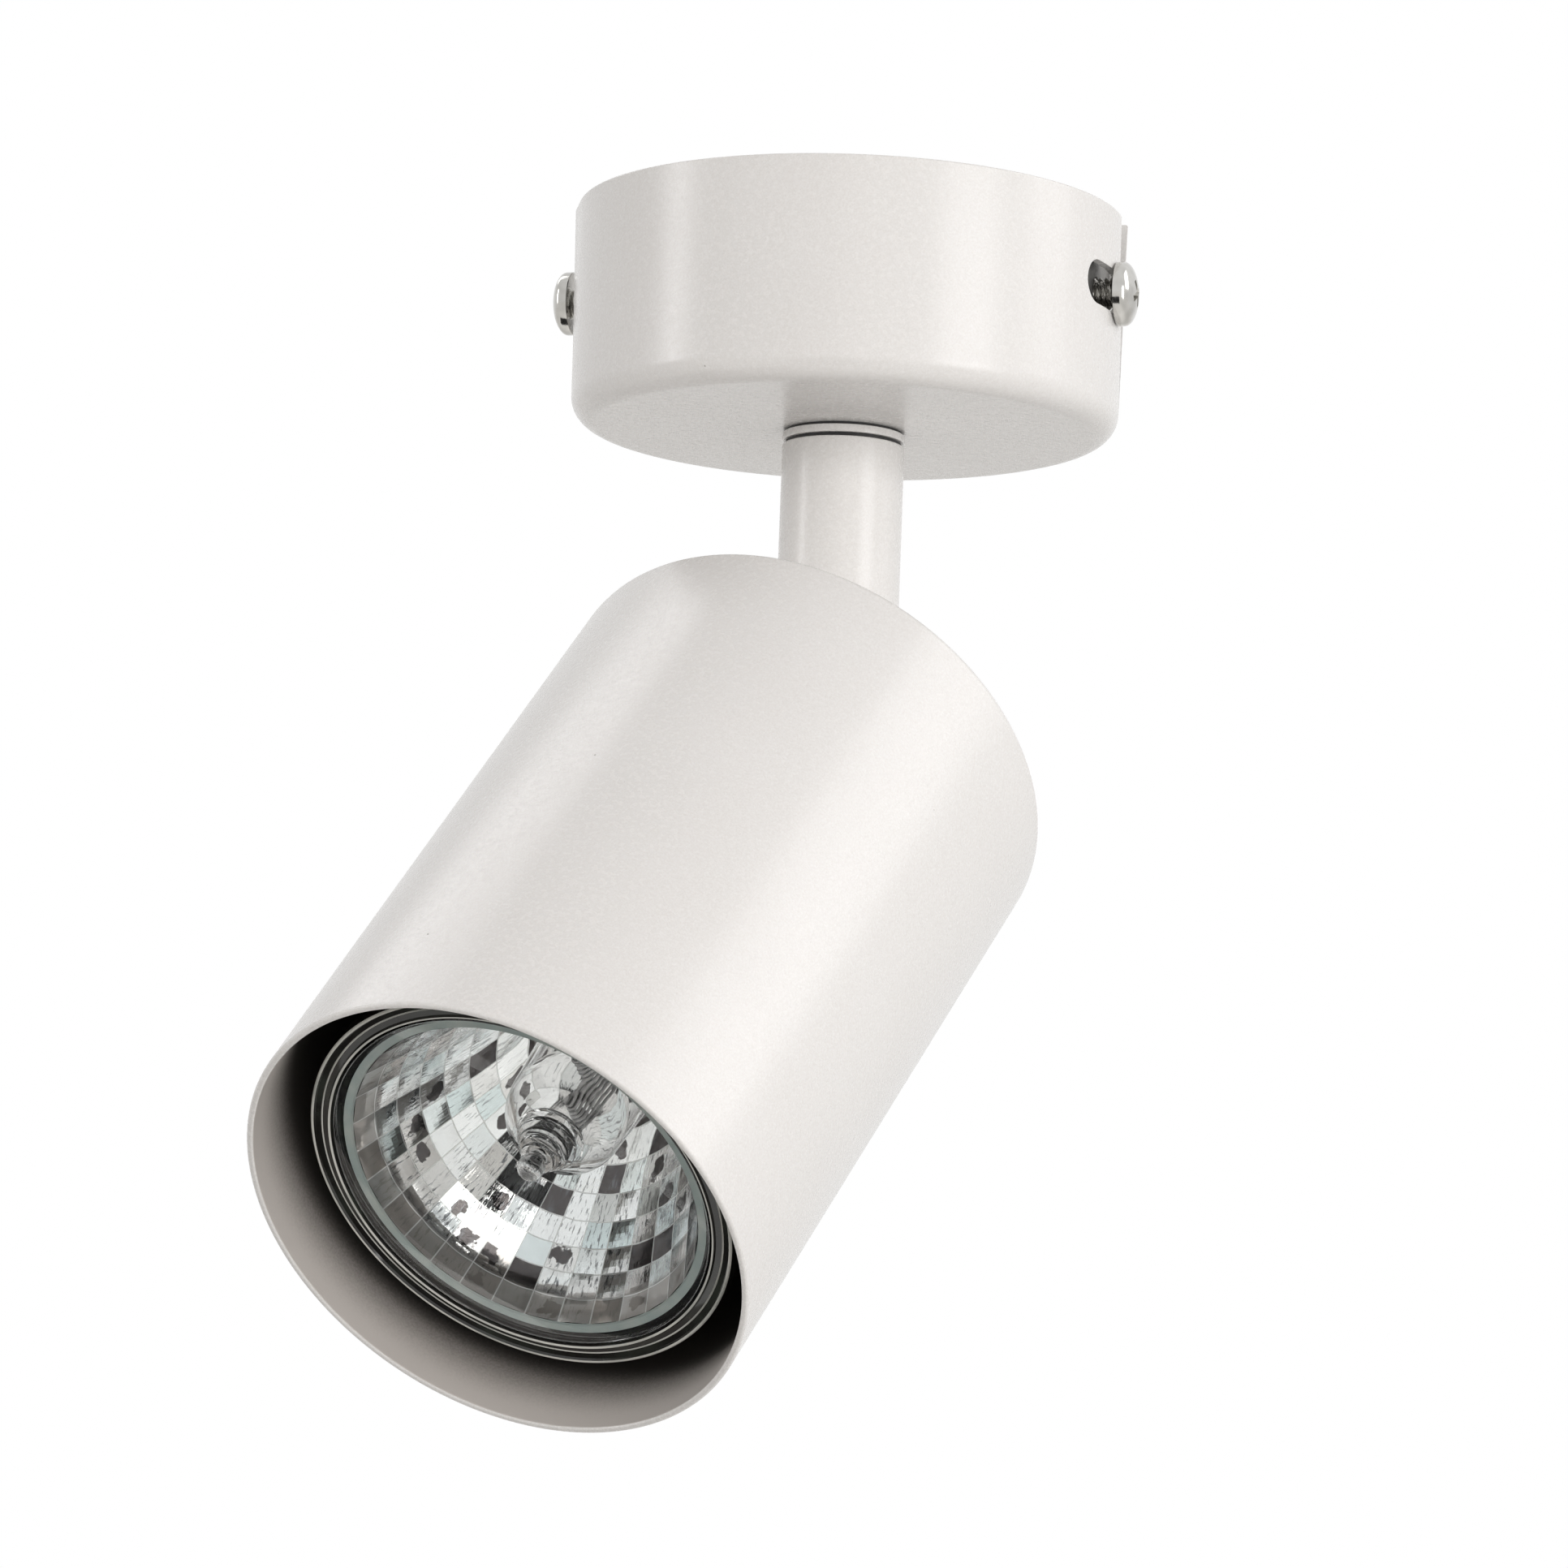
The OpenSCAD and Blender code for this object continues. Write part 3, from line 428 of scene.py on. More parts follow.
def join(name: str, pieces: Sequence[bpy.types.Object]) -> bpy.types.Object:
    """Join meshes into one piece and keep their materials.

    Args:
        name: Name of the joined piece.
        pieces: Pieces to join, which are removed.

    Returns:
        The joined piece.
    """
    work = bmesh.new()
    materials = list(dict.fromkeys(material for piece in pieces for material in piece.data.materials))
    for piece in pieces:
        own = list(piece.data.materials)
        first = len(work.faces)
        work.from_mesh(piece.data)
        work.faces.ensure_lookup_table()
        for face in work.faces[first:]:
            face.material_index = materials.index(own[face.material_index])
        bpy.data.objects.remove(piece)
    joined = worked(work, name)
    for material in materials:
        joined.data.materials.append(material)
    return joined


def paint_faces(piece: bpy.types.Object, seat: Seat, materials: Sequence[bpy.types.Material],
                pick: Callable[[float, float], int]) -> None:
    """Give the faces of a turned piece different materials.

    Args:
        piece: Piece to paint.
        seat: Axis that it was turned about.
        materials: The materials.
        pick: Picks a material's place in the list for the radius and height of a face's middle.
    """
    for material in materials:
        piece.data.materials.append(material)
    inverse = seat.place().inverted()
    for face in piece.data.polygons:
        middle = inverse @ face.center
        face.material_index = pick(middle.xy.length, middle.z)


class Value:
    """Output of a node, ready for arithmetic with others and with numbers."""

    def __init__(self, sheet: "Sheet", socket: bpy.types.NodeSocket) -> None:
        """Keep the socket and the sheet that it is on."""
        self.sheet = sheet
        self.socket = socket

    def __add__(self, other: "Value | float") -> "Value":
        """This plus another."""
        return self.sheet.math("ADD", self, other)

    def __sub__(self, other: "Value | float") -> "Value":
        """This less another."""
        return self.sheet.math("SUBTRACT", self, other)

    def __rsub__(self, other: float) -> "Value":
        """A number less this."""
        return self.sheet.math("SUBTRACT", other, self)

    def __mul__(self, other: "Value | float") -> "Value":
        """This times another."""
        return self.sheet.math("MULTIPLY", self, other)

    def __truediv__(self, other: "Value | float") -> "Value":
        """This over another."""
        return self.sheet.math("DIVIDE", self, other)

    def __rtruediv__(self, other: float) -> "Value":
        """A number over this."""
        return self.sheet.math("DIVIDE", other, self)

    def span(self, low: float, high: float, to_low: float = 0.0, to_high: float = 1.0,
             curve: str = "LINEAR") -> "Value":
        """Map a range of this value onto another, clamped.

        Args:
            low: Where the range begins.
            high: Where the range ends.
            to_low: Result at its beginning.
            to_high: Result at its end.
            curve: How the result runs between the two.

        Returns:
            The mapped value.
        """
        ends = {"From Min": low, "From Max": high, "To Min": to_low, "To Max": to_high}
        return self.sheet.value("ShaderNodeMapRange", "Result", {"Value": self, **ends},
                                interpolation_type=curve)


Term = Value | float


class Sheet:
    """Node tree under construction."""

    def __init__(self, tree: bpy.types.NodeTree) -> None:
        """Start from an empty tree."""
        self.tree = tree
        self.tree.nodes.clear()

    def add(self, kind: str, inputs: dict[str | int, object] | None = None, **settings: object
            ) -> bpy.types.Node:
        """Add a node.

        Args:
            kind: Blender's name of the node.
            inputs: What goes into each input, by its name or place: a value or a plain default.
            settings: Properties of the node.

        Returns:
            The node.
        """
        node = self.tree.nodes.new(kind)
        for key, setting in settings.items():
            setattr(node, key, setting)
        for key, given in (inputs or {}).items():
            socket = node.inputs[key]
            if isinstance(given, Value):
                self.tree.links.new(given.socket, socket)
            else:
                socket.default_value = (*given, 1.0) if socket.type == "RGBA" else given
        return node

    def value(self, kind: str, output: str | int, inputs: dict[str | int, object] | None = None,
              **settings: object) -> Value:
        """Add a node for one of its outputs."""
        return Value(self, self.add(kind, inputs, **settings).outputs[output])

    def parts(self, kind: str, whole: Value) -> tuple[Value, ...]:
        """Parts of a vector or colour, by a node that separates it."""
        return tuple(Value(self, socket) for socket in self.add(kind, {0: whole}).outputs)

    def math(self, operation: str, *values: Term) -> Value:
        """Scalar arithmetic."""
        return self.value("ShaderNodeMath", 0, dict(enumerate(values)), operation=operation)

    def point(self, x: Term, y: Term, z: Term = 0.0) -> Value:
        """Vector from three values."""
        return self.value("ShaderNodeCombineXYZ", 0, {0: x, 1: y, 2: z})

    def mix(self, share: Term, first: Value | Colour, second: Value | Colour) -> Value:
        """Colour at a share of the way from the first to the second."""
        return self.value("ShaderNodeMix", 2, {0: share, 6: first, 7: second}, data_type="RGBA")

    def seen_directly(self) -> Value:
        """Tell rays that look at a surface from those that light others.

        Returns:
            1 for camera, glossy and transmission rays and 0 for the rest.
        """
        path = self.add("ShaderNodeLightPath")
        camera, glossy, through = (Value(self, path.outputs[f"Is {kind} Ray"])
                                   for kind in ("Camera", "Glossy", "Transmission"))
        return self.math("MAXIMUM", self.math("MAXIMUM", camera, glossy), through)


class Shader(Sheet):
    """Node sheet of one material, which reads the piece's own coordinates."""

    def __init__(self, name: str) -> None:
        """Start the sheet.

        Args:
            name: Name of the material.
        """
        self.material = bpy.data.materials.new(name)
        self.material.use_nodes = True
        super().__init__(self.material.node_tree)
        self.place = self.value("ShaderNodeTexCoord", "Object")

    def noise(self, scale: float, detail: float = 2.0, rough: float = 0.5, at: Value | None = None) -> Value:
        """Noise from 0 to 1; scale counts waves per metre."""
        return self.value("ShaderNodeTexNoise", "Fac", {
            "Vector": at or self.place, "Scale": scale, "Detail": detail, "Roughness": rough})

    def cells(self, scale: float, output: str) -> Value:
        """Distance to the nearest of scattered points, or that point's colour."""
        return self.value("ShaderNodeTexVoronoi", output, {"Vector": self.place, "Scale": scale})

    def along(self, origin: Vector, direction: Vector) -> Value:
        """Measure along a direction of the part.

        Args:
            origin: Where the measure begins.
            direction: Its direction, of length one.

        Returns:
            Distance from the origin in millimetres.
        """
        shift = self.value("ShaderNodeVectorMath", 0, {0: self.place, 1: origin}, operation="SUBTRACT")
        return self.value("ShaderNodeVectorMath", "Value", {0: shift, 1: direction / MM},
                          operation="DOT_PRODUCT")

    def turned(self, seat: Seat) -> Value:
        """Turn the coordinates into a seat's own frame.

        Args:
            seat: The seat.

        Returns:
            Coordinates along its axes, in metres.
        """
        back = seat.matrix.inverted()
        return self.value("ShaderNodeMapping", 0, {
            "Vector": self.place, "Location": back.to_translation(), "Rotation": back.to_euler()})

    def bump(self, height: Value, depth: float) -> Value:
        """Surface relief; depth is in millimetres."""
        return self.value("ShaderNodeBump", "Normal", {"Height": height, "Distance": depth * MM})

    def surface(self, **inputs: object) -> bpy.types.Material:
        """Finish the sheet with one surface shader.

        Args:
            inputs: What goes into the shader's inputs, with underscores for spaces.

        Returns:
            The material.
        """
        named = {key.replace("_", " "): given for key, given in inputs.items()}
        self.add("ShaderNodeOutputMaterial", {"Surface": self.value("ShaderNodeBsdfPrincipled", 0, named)})
        return self.material


@dataclass(frozen=True)
class PowderCoat:
    """Off-white satin powder coat with fine grain and a few dark specks."""

    colour: Colour = (0.84, 0.832, 0.822)
    shade_colour: Colour = (0.74, 0.722, 0.702)
    speck_colour: Colour = (0.22, 0.20, 0.18)
    grain_scale: float = 4200.0
    cloud_scale: float = 60.0
    speck_scale: float = 240.0
    speck_size: float = 0.034
    speck_luck: float = 0.72
    relief: float = 0.006
    roughness: float = 0.26

    def make(self) -> bpy.types.Material:
        """Build the material of the outer faces.

        Returns:
            The material.
        """
        sheet = Shader("powder_coat")
        fine = sheet.noise(self.grain_scale, 2, 0.7)
        cloud = sheet.noise(self.cloud_scale, 3, 0.5)
        share = fine.span(0.34, 0.66, 0.0, 0.75) + cloud.span(0.3, 0.7, 0.0, 0.15)
        colour = sheet.mix(share, self.colour, self.shade_colour)
        luck, bulk, _ = sheet.parts("ShaderNodeSeparateColor", sheet.cells(self.speck_scale, "Color"))
        near = sheet.cells(self.speck_scale, "Distance") / bulk.span(0.0, 1.0, 0.5, 1.0)
        inside = near.span(self.speck_size * 0.7, self.speck_size * 1.5, 1.0, 0.0)
        rare = sheet.math("GREATER_THAN", luck, self.speck_luck)
        colour = sheet.mix(inside * rare, colour, self.speck_colour)
        coarse = sheet.noise(self.grain_scale / 3)
        rough = coarse.span(0.3, 0.7, self.roughness - 0.05, self.roughness + 0.05)
        return sheet.surface(Base_Color=colour, Roughness=rough, Normal=sheet.bump(fine, self.relief))


@dataclass(frozen=True)
class InnerCoatAndShade:
    """Thin coat inside the head that fades to bare dark metal with depth, with painted shade laid over it:
    darker towards the back of the recess.
    """

    # Both colours hold painted shade: the rim colour is darker than the outer coat and the deep colour is
    # near black.
    rim_shade_colour: Colour = (0.60, 0.565, 0.535)
    deep_shade_colour: Colour = (0.050, 0.045, 0.041)
    fade_start: float = 1.5
    fade_end: float = 10.5
    grain_scale: float = 3800.0
    wander: float = 0.5
    roughness: float = 0.55
    relief: float = 0.01

    def make(self, rim: Vector, inward: Vector) -> bpy.types.Material:
        """Build the material of the inner wall.

        Args:
            rim: Middle of the head's open rim.
            inward: Direction from the rim into the head.

        Returns:
            The material, darker with distance from the rim: the coat's fade and painted shade in the recess.
        """
        sheet = Shader("inner_coat")
        fine = sheet.noise(self.grain_scale, 3, 0.6)
        wavy = sheet.along(rim, inward) + fine.span(0.3, 0.7, -self.wander, self.wander)
        share = wavy.span(self.fade_start, self.fade_end, curve="SMOOTHSTEP")
        colour = sheet.mix(share, self.rim_shade_colour, self.deep_shade_colour)
        return sheet.surface(Base_Color=colour, Roughness=self.roughness,
                             Normal=sheet.bump(fine, self.relief))


@dataclass(frozen=True)
class PlatedMetal:
    """Plated or bare metal with fine machining grain and faint stains."""

    name: str
    colour: Colour
    stain: Colour
    roughness: float = 0.25
    grain_scale: float = 1800.0
    relief: float = 0.004

    def make(self) -> bpy.types.Material:
        """Build the material.

        Returns:
            The material.
        """
        sheet = Shader(self.name)
        fine = sheet.noise(self.grain_scale, 4, 0.6)
        cloud = sheet.noise(self.grain_scale / 12, 3, 0.6)
        colour = sheet.mix(cloud.span(0.42, 0.72), self.colour, self.stain)
        rough = fine.span(0.25, 0.75, self.roughness * 0.75, self.roughness * 1.35)
        return sheet.surface(Base_Color=colour, Metallic=1.0, Roughness=rough,
                             Normal=sheet.bump(fine, self.relief))


@dataclass(frozen=True)
class Moulding:
    """Moulded or pressed opaque stuff: plastic, ceramic, fibre or rubber."""

    name: str
    colour: Colour
    dust: Colour
    roughness: float = 0.45
    grain_scale: float = 2600.0
    relief: float = 0.01

    def make(self) -> bpy.types.Material:
        """Build the material.

        Returns:
            The material.
        """
        sheet = Shader(self.name)
        fine = sheet.noise(self.grain_scale, 3, 0.6)
        cloud = sheet.noise(self.grain_scale / 20, 3, 0.5)
        colour = sheet.mix(cloud.span(0.35, 0.7), self.colour, self.dust)
        rough = fine.span(0.3, 0.7, self.roughness - 0.06, self.roughness + 0.06)
        return sheet.surface(Base_Color=colour, Roughness=rough, Normal=sheet.bump(fine, self.relief))


@dataclass(frozen=True)
class Insulation:
    """Lead insulation, plain or with the two-colour earth stripe."""

    name: str
    colour: Colour
    stripe: Colour | None = None
    stripe_pitch: float = 900.0
    grain_scale: float = 3000.0
    fade: float = 0.8
    roughness: float = 0.42
    relief: float = 0.006

    def make(self) -> bpy.types.Material:
        """Build the material.

        Returns:
            The material.
        """
        sheet = Shader(self.name)
        fine = sheet.noise(self.grain_scale)
        if self.stripe:
            wave = sheet.value("ShaderNodeTexWave", "Fac", {
                "Vector": sheet.place, "Scale": self.stripe_pitch / math.tau}, bands_direction="DIAGONAL")
            share, second = wave.span(0.45, 0.55), self.stripe
        else:
            share, second = fine.span(0.3, 0.8), tuple(part * self.fade for part in self.colour)
        colour = sheet.mix(share, self.colour, second)
        return sheet.surface(Base_Color=colour, Roughness=self.roughness,
                             Normal=sheet.bump(fine, self.relief))


@dataclass(frozen=True)
class Glass:
    """Clear glass with faint waviness and darker outlines, which are painted: the tint darkens towards
    grazing angles as a painted dark reflection at its edges.
    """

    name: str
    tint: Colour = (0.97, 0.985, 0.98)
    outline: Colour = (0.97, 0.985, 0.98)
    ior: float = 1.5
    wave_scale: float = 300.0
    relief: float = 0.004

    def make(self) -> bpy.types.Material:
        """Build the material.

        Returns:
            The material.
        """
        sheet = Shader(self.name)
        turn = sheet.value("ShaderNodeLayerWeight", "Facing", {"Blend": 0.5})
        # The tint turns to the outline colour at grazing angles: painted dark edges.
        colour = sheet.mix(turn.span(0.45, 0.95), self.tint, self.outline)
        wavy = sheet.bump(sheet.noise(self.wave_scale, 1, 0.4), self.relief)
        return sheet.surface(Base_Color=colour, Transmission_Weight=1.0, IOR=self.ior, Roughness=0.0,
                             Normal=wavy)


@dataclass(frozen=True)
class RimGlass:
    """Pressed glass of the reflector's rim in one of its tones, faintly clouded; the near-black tone is
    painted shade and the bright edge tone is a painted highlight.
    """

    name: str
    colour: Colour
    cloudy: Colour
    roughness: float = 0.10
    cloud_scale: float = 160.0
    relief: float = 0.03

    def make(self) -> bpy.types.Material:
        """Build the material.

        Returns:
            The material.
        """
        sheet = Shader(self.name)
        cloud = sheet.noise(self.cloud_scale, 3, 0.6)
        colour = sheet.mix(cloud.span(0.42, 0.70), self.colour, self.cloudy)
        return sheet.surface(Base_Color=colour, Roughness=self.roughness,
                             Normal=sheet.bump(cloud, self.relief))


@dataclass(frozen=True)
class PinchGlass:
    """Pinched quartz over dark foil, whose sparkle is partly painted: light specks in its grain are painted
    glints.
    """

    dark: Colour = (0.035, 0.032, 0.030)
    light: Colour = (0.85, 0.84, 0.82)
    grain_scale: float = 1700.0
    metallic: float = 0.7
    roughness: float = 0.18
    relief: float = 0.12

    def make(self) -> bpy.types.Material:
        """Build the material.

        Returns:
            The material.
        """
        sheet = Shader("pinch_glass")
        grain = sheet.noise(self.grain_scale, 4, 0.7)
        # Light specks in the grain are painted glints.
        colour = sheet.mix(grain.span(0.50, 0.66), self.dark, self.light)
        return sheet.surface(Base_Color=colour, Metallic=self.metallic, Roughness=self.roughness,
                             Normal=sheet.bump(grain, self.relief))


@dataclass(frozen=True)
class MirrorCoatAndReflections:
    """Mirror coat of the faceted bowl: each cell has its own tone, with painted reflections over it: dark
    cells, dark round blobs and fine dark streaks towards the neck, and pale crease edges as a painted
    highlight.
    """

    colour: Colour = (0.90, 0.90, 0.905)
    warm: Colour = (0.52, 0.49, 0.47)
    cool: Colour = (0.62, 0.70, 0.71)
    # The dark cell colour, the streak colour and the crease colour are painted reflections and a painted
    # highlight.
    dark: Colour = (0.11, 0.10, 0.10)
    streak_reflection: Colour = (0.17, 0.17, 0.18)
    crease: Colour = (0.93, 0.93, 0.92)
    edge_band: Colour = (0.46, 0.42, 0.39)
    dark_reflection_luck: float = 0.965
    reflection_blob_luck: float = 0.80
    reflection_blob_r: float = 0.36
    crease_w: float = 0.028
    wobble_scale: float = 900.0
    patch_scale: float = 110.0
    streaks_round: float = 9.0
    streaks_along: float = 1.6
    band_share: float = 0.7
    band_matt: float = 0.55
    line_matt: float = 0.65
    roughness: float = 0.03
    relief: float = 0.012

    def make(self, seat: Seat, spokes: int, rings: int, outer: float, inner: float) -> bpy.types.Material:
        """Build the material for one layout of cells.

        Args:
            seat: The lamp's axis.
            spokes: Cells round the axis.
            rings: Cells from the edge to the neck.
            outer: Radius of the mirror's edge in millimetres.
            inner: Radius of the neck in millimetres.

        Returns:
            The material, whose tones change from cell to cell, with painted reflections and a painted crease
            highlight over them.
        """
        sheet = Shader("mirror_coat")
        x, y, _ = sheet.parts("ShaderNodeSeparateXYZ", sheet.turned(seat))
        spoke = (sheet.math("ARCTAN2", y, x) / math.tau + 1.0) * float(spokes)
        ring = sheet.math("SQRT", x * x + y * y).span(inner * MM, outer * MM, 0.0, float(rings))
        cell = sheet.point(sheet.math("FLOOR", spoke), sheet.math("FLOOR", ring))
        dice = sheet.value("ShaderNodeTexWhiteNoise", "Color", {"Vector": cell}, noise_dimensions="3D")
        red, green, blue = sheet.parts("ShaderNodeSeparateColor", dice)
        # Warm and cool tints of the coating from cell to cell; their darker tones also stand for the facets'
        # differing reflections, so they are partly painted reflection.
        tone = sheet.mix(red.span(0.45, 0.95), self.colour, self.warm)
        tone = sheet.mix(green.span(0.60, 1.0), tone, self.cool)
        # A few cells are painted dark: painted reflection of dark surroundings.
        tone = sheet.mix(sheet.math("GREATER_THAN", blue, self.dark_reflection_luck), tone, self.dark)
        # Round dark blobs in some cells: painted reflections.
        aside = sheet.math("FRACT", spoke) - red.span(0.0, 1.0, 0.3, 0.7)
        beyond = sheet.math("FRACT", ring) - green.span(0.0, 1.0, 0.25, 0.75)
        wobble = sheet.noise(self.wobble_scale).span(0.3, 0.7, -0.16, 0.22)
        apart = sheet.math("SQRT", aside * aside + beyond * beyond) + wobble
        reflection_spotted = sheet.math("GREATER_THAN", sheet.math("FRACT", blue * 7.0), self.reflection_blob_luck)
        tone = sheet.mix(apart.span(self.reflection_blob_r * 0.85, self.reflection_blob_r, 1.0, 0.0) * reflection_spotted, tone, self.dark)
        # Dark streaks across the cells are painted reflections; the same noise also bumps the surface.
        grain = sheet.point(spoke * self.streaks_round, ring * self.streaks_along)
        streak = sheet.noise(1.0, 3, 0.65, grain)
        share = streak.span(0.54, 0.64) * sheet.noise(self.patch_scale).span(0.40, 0.56)
        tone = sheet.mix(share, tone, self.streak_reflection)
        band = ring.span(rings - 1.3, rings - 0.9)
        tone = sheet.mix(band * self.band_share, tone, self.edge_band)
        # Pale line along each crease: a painted highlight.
        edge = sheet.math("MINIMUM", sheet.math("PINGPONG", spoke, 0.5), sheet.math("PINGPONG", ring, 0.5))
        line = edge.span(self.crease_w * 0.5, self.crease_w, 1.0, 0.0)
        matt = sheet.math("MAXIMUM", line * self.line_matt, band * self.band_matt)
        tone = sheet.mix(line, tone, self.crease)
        return sheet.surface(Base_Color=tone, Metallic=1.0 - matt, Roughness=self.roughness,
                             Normal=sheet.bump(streak, self.relief))


class Finish(Enum):
    """Finishes that pieces share."""

    PAINT = PowderCoat()
    NICKEL = PlatedMetal("bright_nickel", (0.60, 0.59, 0.565), (0.30, 0.29, 0.27), 0.13)
    ZINC = PlatedMetal("zinc_plate", (0.70, 0.71, 0.72), (0.56, 0.57, 0.58), 0.34, 900.0)
    SPRING = PlatedMetal("blackened_spring", (0.16, 0.16, 0.17), (0.10, 0.10, 0.11), 0.38)
    # Dull steel of the ceiling bracket, darker than bare steel so that the slot in front of it looks dark:
    # partly its own dull grey, partly painted shade.
    STEEL = PlatedMetal("dull_steel", (0.30, 0.295, 0.285), (0.20, 0.195, 0.19), 0.5, 900.0, 0.012)
    BRASS = PlatedMetal("turned_brass", (0.80, 0.62, 0.30), (0.62, 0.46, 0.22), 0.25)
    TUNGSTEN = PlatedMetal("tungsten_wire", (0.34, 0.33, 0.33), (0.20, 0.19, 0.19), 0.35)
    BLOCK = Moulding("terminal_moulding", (0.80, 0.78, 0.70), (0.74, 0.72, 0.64))
    CERAMIC = Moulding("white_ceramic", (0.80, 0.79, 0.76), (0.74, 0.72, 0.68), 0.6, 1800.0, 0.02)
    FIBRE = Moulding("pressed_fibre", (0.20, 0.07, 0.035), (0.15, 0.05, 0.03), 0.7)
    # Dark rubber of the gasket; the collar's groove also takes it as painted shade.
    RUBBER = Moulding("gasket_rubber", (0.025, 0.025, 0.026), (0.04, 0.04, 0.04), 0.6)
    NECK = Moulding("neck_coat", (0.74, 0.70, 0.695), (0.56, 0.51, 0.51), 0.22, 900.0, 0.02)
    CEMENT = Moulding("lamp_cement", (0.30, 0.27, 0.25), (0.16, 0.14, 0.13), 0.8, 1500.0, 0.05)
    LIVE = Insulation("brown_lead", (0.16, 0.06, 0.025))
    NEUTRAL = Insulation("blue_lead", (0.02, 0.12, 0.42))
    EARTH = Insulation("striped_lead", (0.05, 0.30, 0.06), (0.75, 0.66, 0.05))
    GLASS = Glass("front_glass")
    # Its near-black outline colour paints dark edges where the capsule is seen at a grazing angle.
    QUARTZ = Glass("quartz_glass", (0.985, 0.98, 0.98), (0.16, 0.15, 0.15), 1.46, 500.0, 0.01)
    PINCH = PinchGlass()
    # The near-black rim glass is painted shade, standing for the dark seen through clear glass; the bright
    # edge finish below is a painted highlight on the rim's ridges.
    RIM_DARK = RimGlass("dark_rim_glass", (0.012, 0.011, 0.010), (0.030, 0.034, 0.028))
    RIM_LINE = RimGlass("bright_rim_edge", (0.62, 0.62, 0.58), (0.40, 0.41, 0.38), 0.25)
    RIM_LAND = RimGlass("pale_land_glass", (0.50, 0.57, 0.55), (0.66, 0.69, 0.65), 0.22)

    @cache
    def material(self) -> bpy.types.Material:
        """Material of the finish, built once."""
        return self.value.make()


def between(share: Value, first: Value, second: Value) -> Value:
    """Value at a share of the way from the first to the second."""
    return first + share * (second - first)


def hump(share: Value) -> Value:
    """Height from 0 at a cell's edges to 1 in its middle."""
    return share * (1.0 - share) * 4.0


def bearing(vert: bmesh.types.BMVert) -> float:
    """Angle of a point about Z."""
    return math.atan2(vert.co.y, vert.co.x)


class Rule(Sheet):
    """Geometry node tree with named inputs, whose result becomes plain mesh."""

    def __init__(self, name: str, **inputs: Sequence[str]) -> None:
        """Start a tree that takes a geometry, sizes and a finish.

        Args:
            name: Name of the tree.
            inputs: Names of the inputs between the two, by their socket type.
        """
        super().__init__(bpy.data.node_groups.new(name, "GeometryNodeTree"))
        sockets = self.tree.interface
        sockets.new_socket("Geometry", in_out="OUTPUT", socket_type="NodeSocketGeometry")
        for kind, names in {"Geometry": ("Geometry",), **inputs, "Material": ("Finish",)}.items():
            for key in names:
                sockets.new_socket(key, in_out="INPUT", socket_type="NodeSocket" + kind)
        self.source = self.add("NodeGroupInput")

    def given(self, name: str) -> Value:
        """Value of a named input inside the tree."""
        return Value(self, self.source.outputs[name])

    def grid(self, across: Term, along: Term) -> tuple[Value, Value, Value]:
        """Flat grid to bend.

        Args:
            across: Points across it.
            along: Points along it.

        Returns:
            The grid, and each point's share of the way across and along it.
        """
        grid = self.value("GeometryNodeMeshGrid", "Mesh", {"Vertices X": across, "Vertices Y": along})
        x, y, _ = self.parts("ShaderNodeSeparateXYZ", self.value("GeometryNodeInputPosition", 0))
        return grid, x + 0.5, y + 0.5

    def bend(self, grid: Value, x: Value, y: Value, z: Value) -> None:
        """Move a grid's points, close its seam and hand it out.

        Args:
            grid: The grid.
            x: Where each point goes along X.
            y: Where each point goes along Y.
            z: Where each point goes along Z.
        """
        moved = self.value("GeometryNodeSetPosition", 0, {"Geometry": grid, "Position": self.point(x, y, z)})
        self.end(self.value("GeometryNodeMergeByDistance", 0, {"Geometry": moved, "Distance": SEAM_GAP}))

    def end(self, geometry: Value) -> None:
        """Realise a geometry, give it the finish and hand it out.

        Args:
            geometry: The geometry.
        """
        real = self.value("GeometryNodeRealizeInstances", 0, {"Geometry": geometry})
        self.add("NodeGroupOutput", {0: self.value("GeometryNodeSetMaterial", 0, {
            "Geometry": real, "Material": self.given("Finish")})})

    def run(self, name: str, values: dict[str, object], base: bpy.types.Mesh | None = None
            ) -> bpy.types.Object:
        """Evaluate the tree.

        Args:
            name: Name of the new piece.
            values: Values of the named inputs.
            base: Mesh that the tree starts from, if it needs one.

        Returns:
            A piece that holds the result as plain mesh.
        """
        piece = new_piece(name, base if base else bpy.data.meshes.new(name))
        rule = piece.modifiers.new("rule", "NODES")
        rule.node_group = self.tree
        for item in self.tree.interface.items_tree:
            if item.in_out == "INPUT" and item.name in values:
                rule[item.identifier] = values[item.name]
        settle(piece)
        return piece


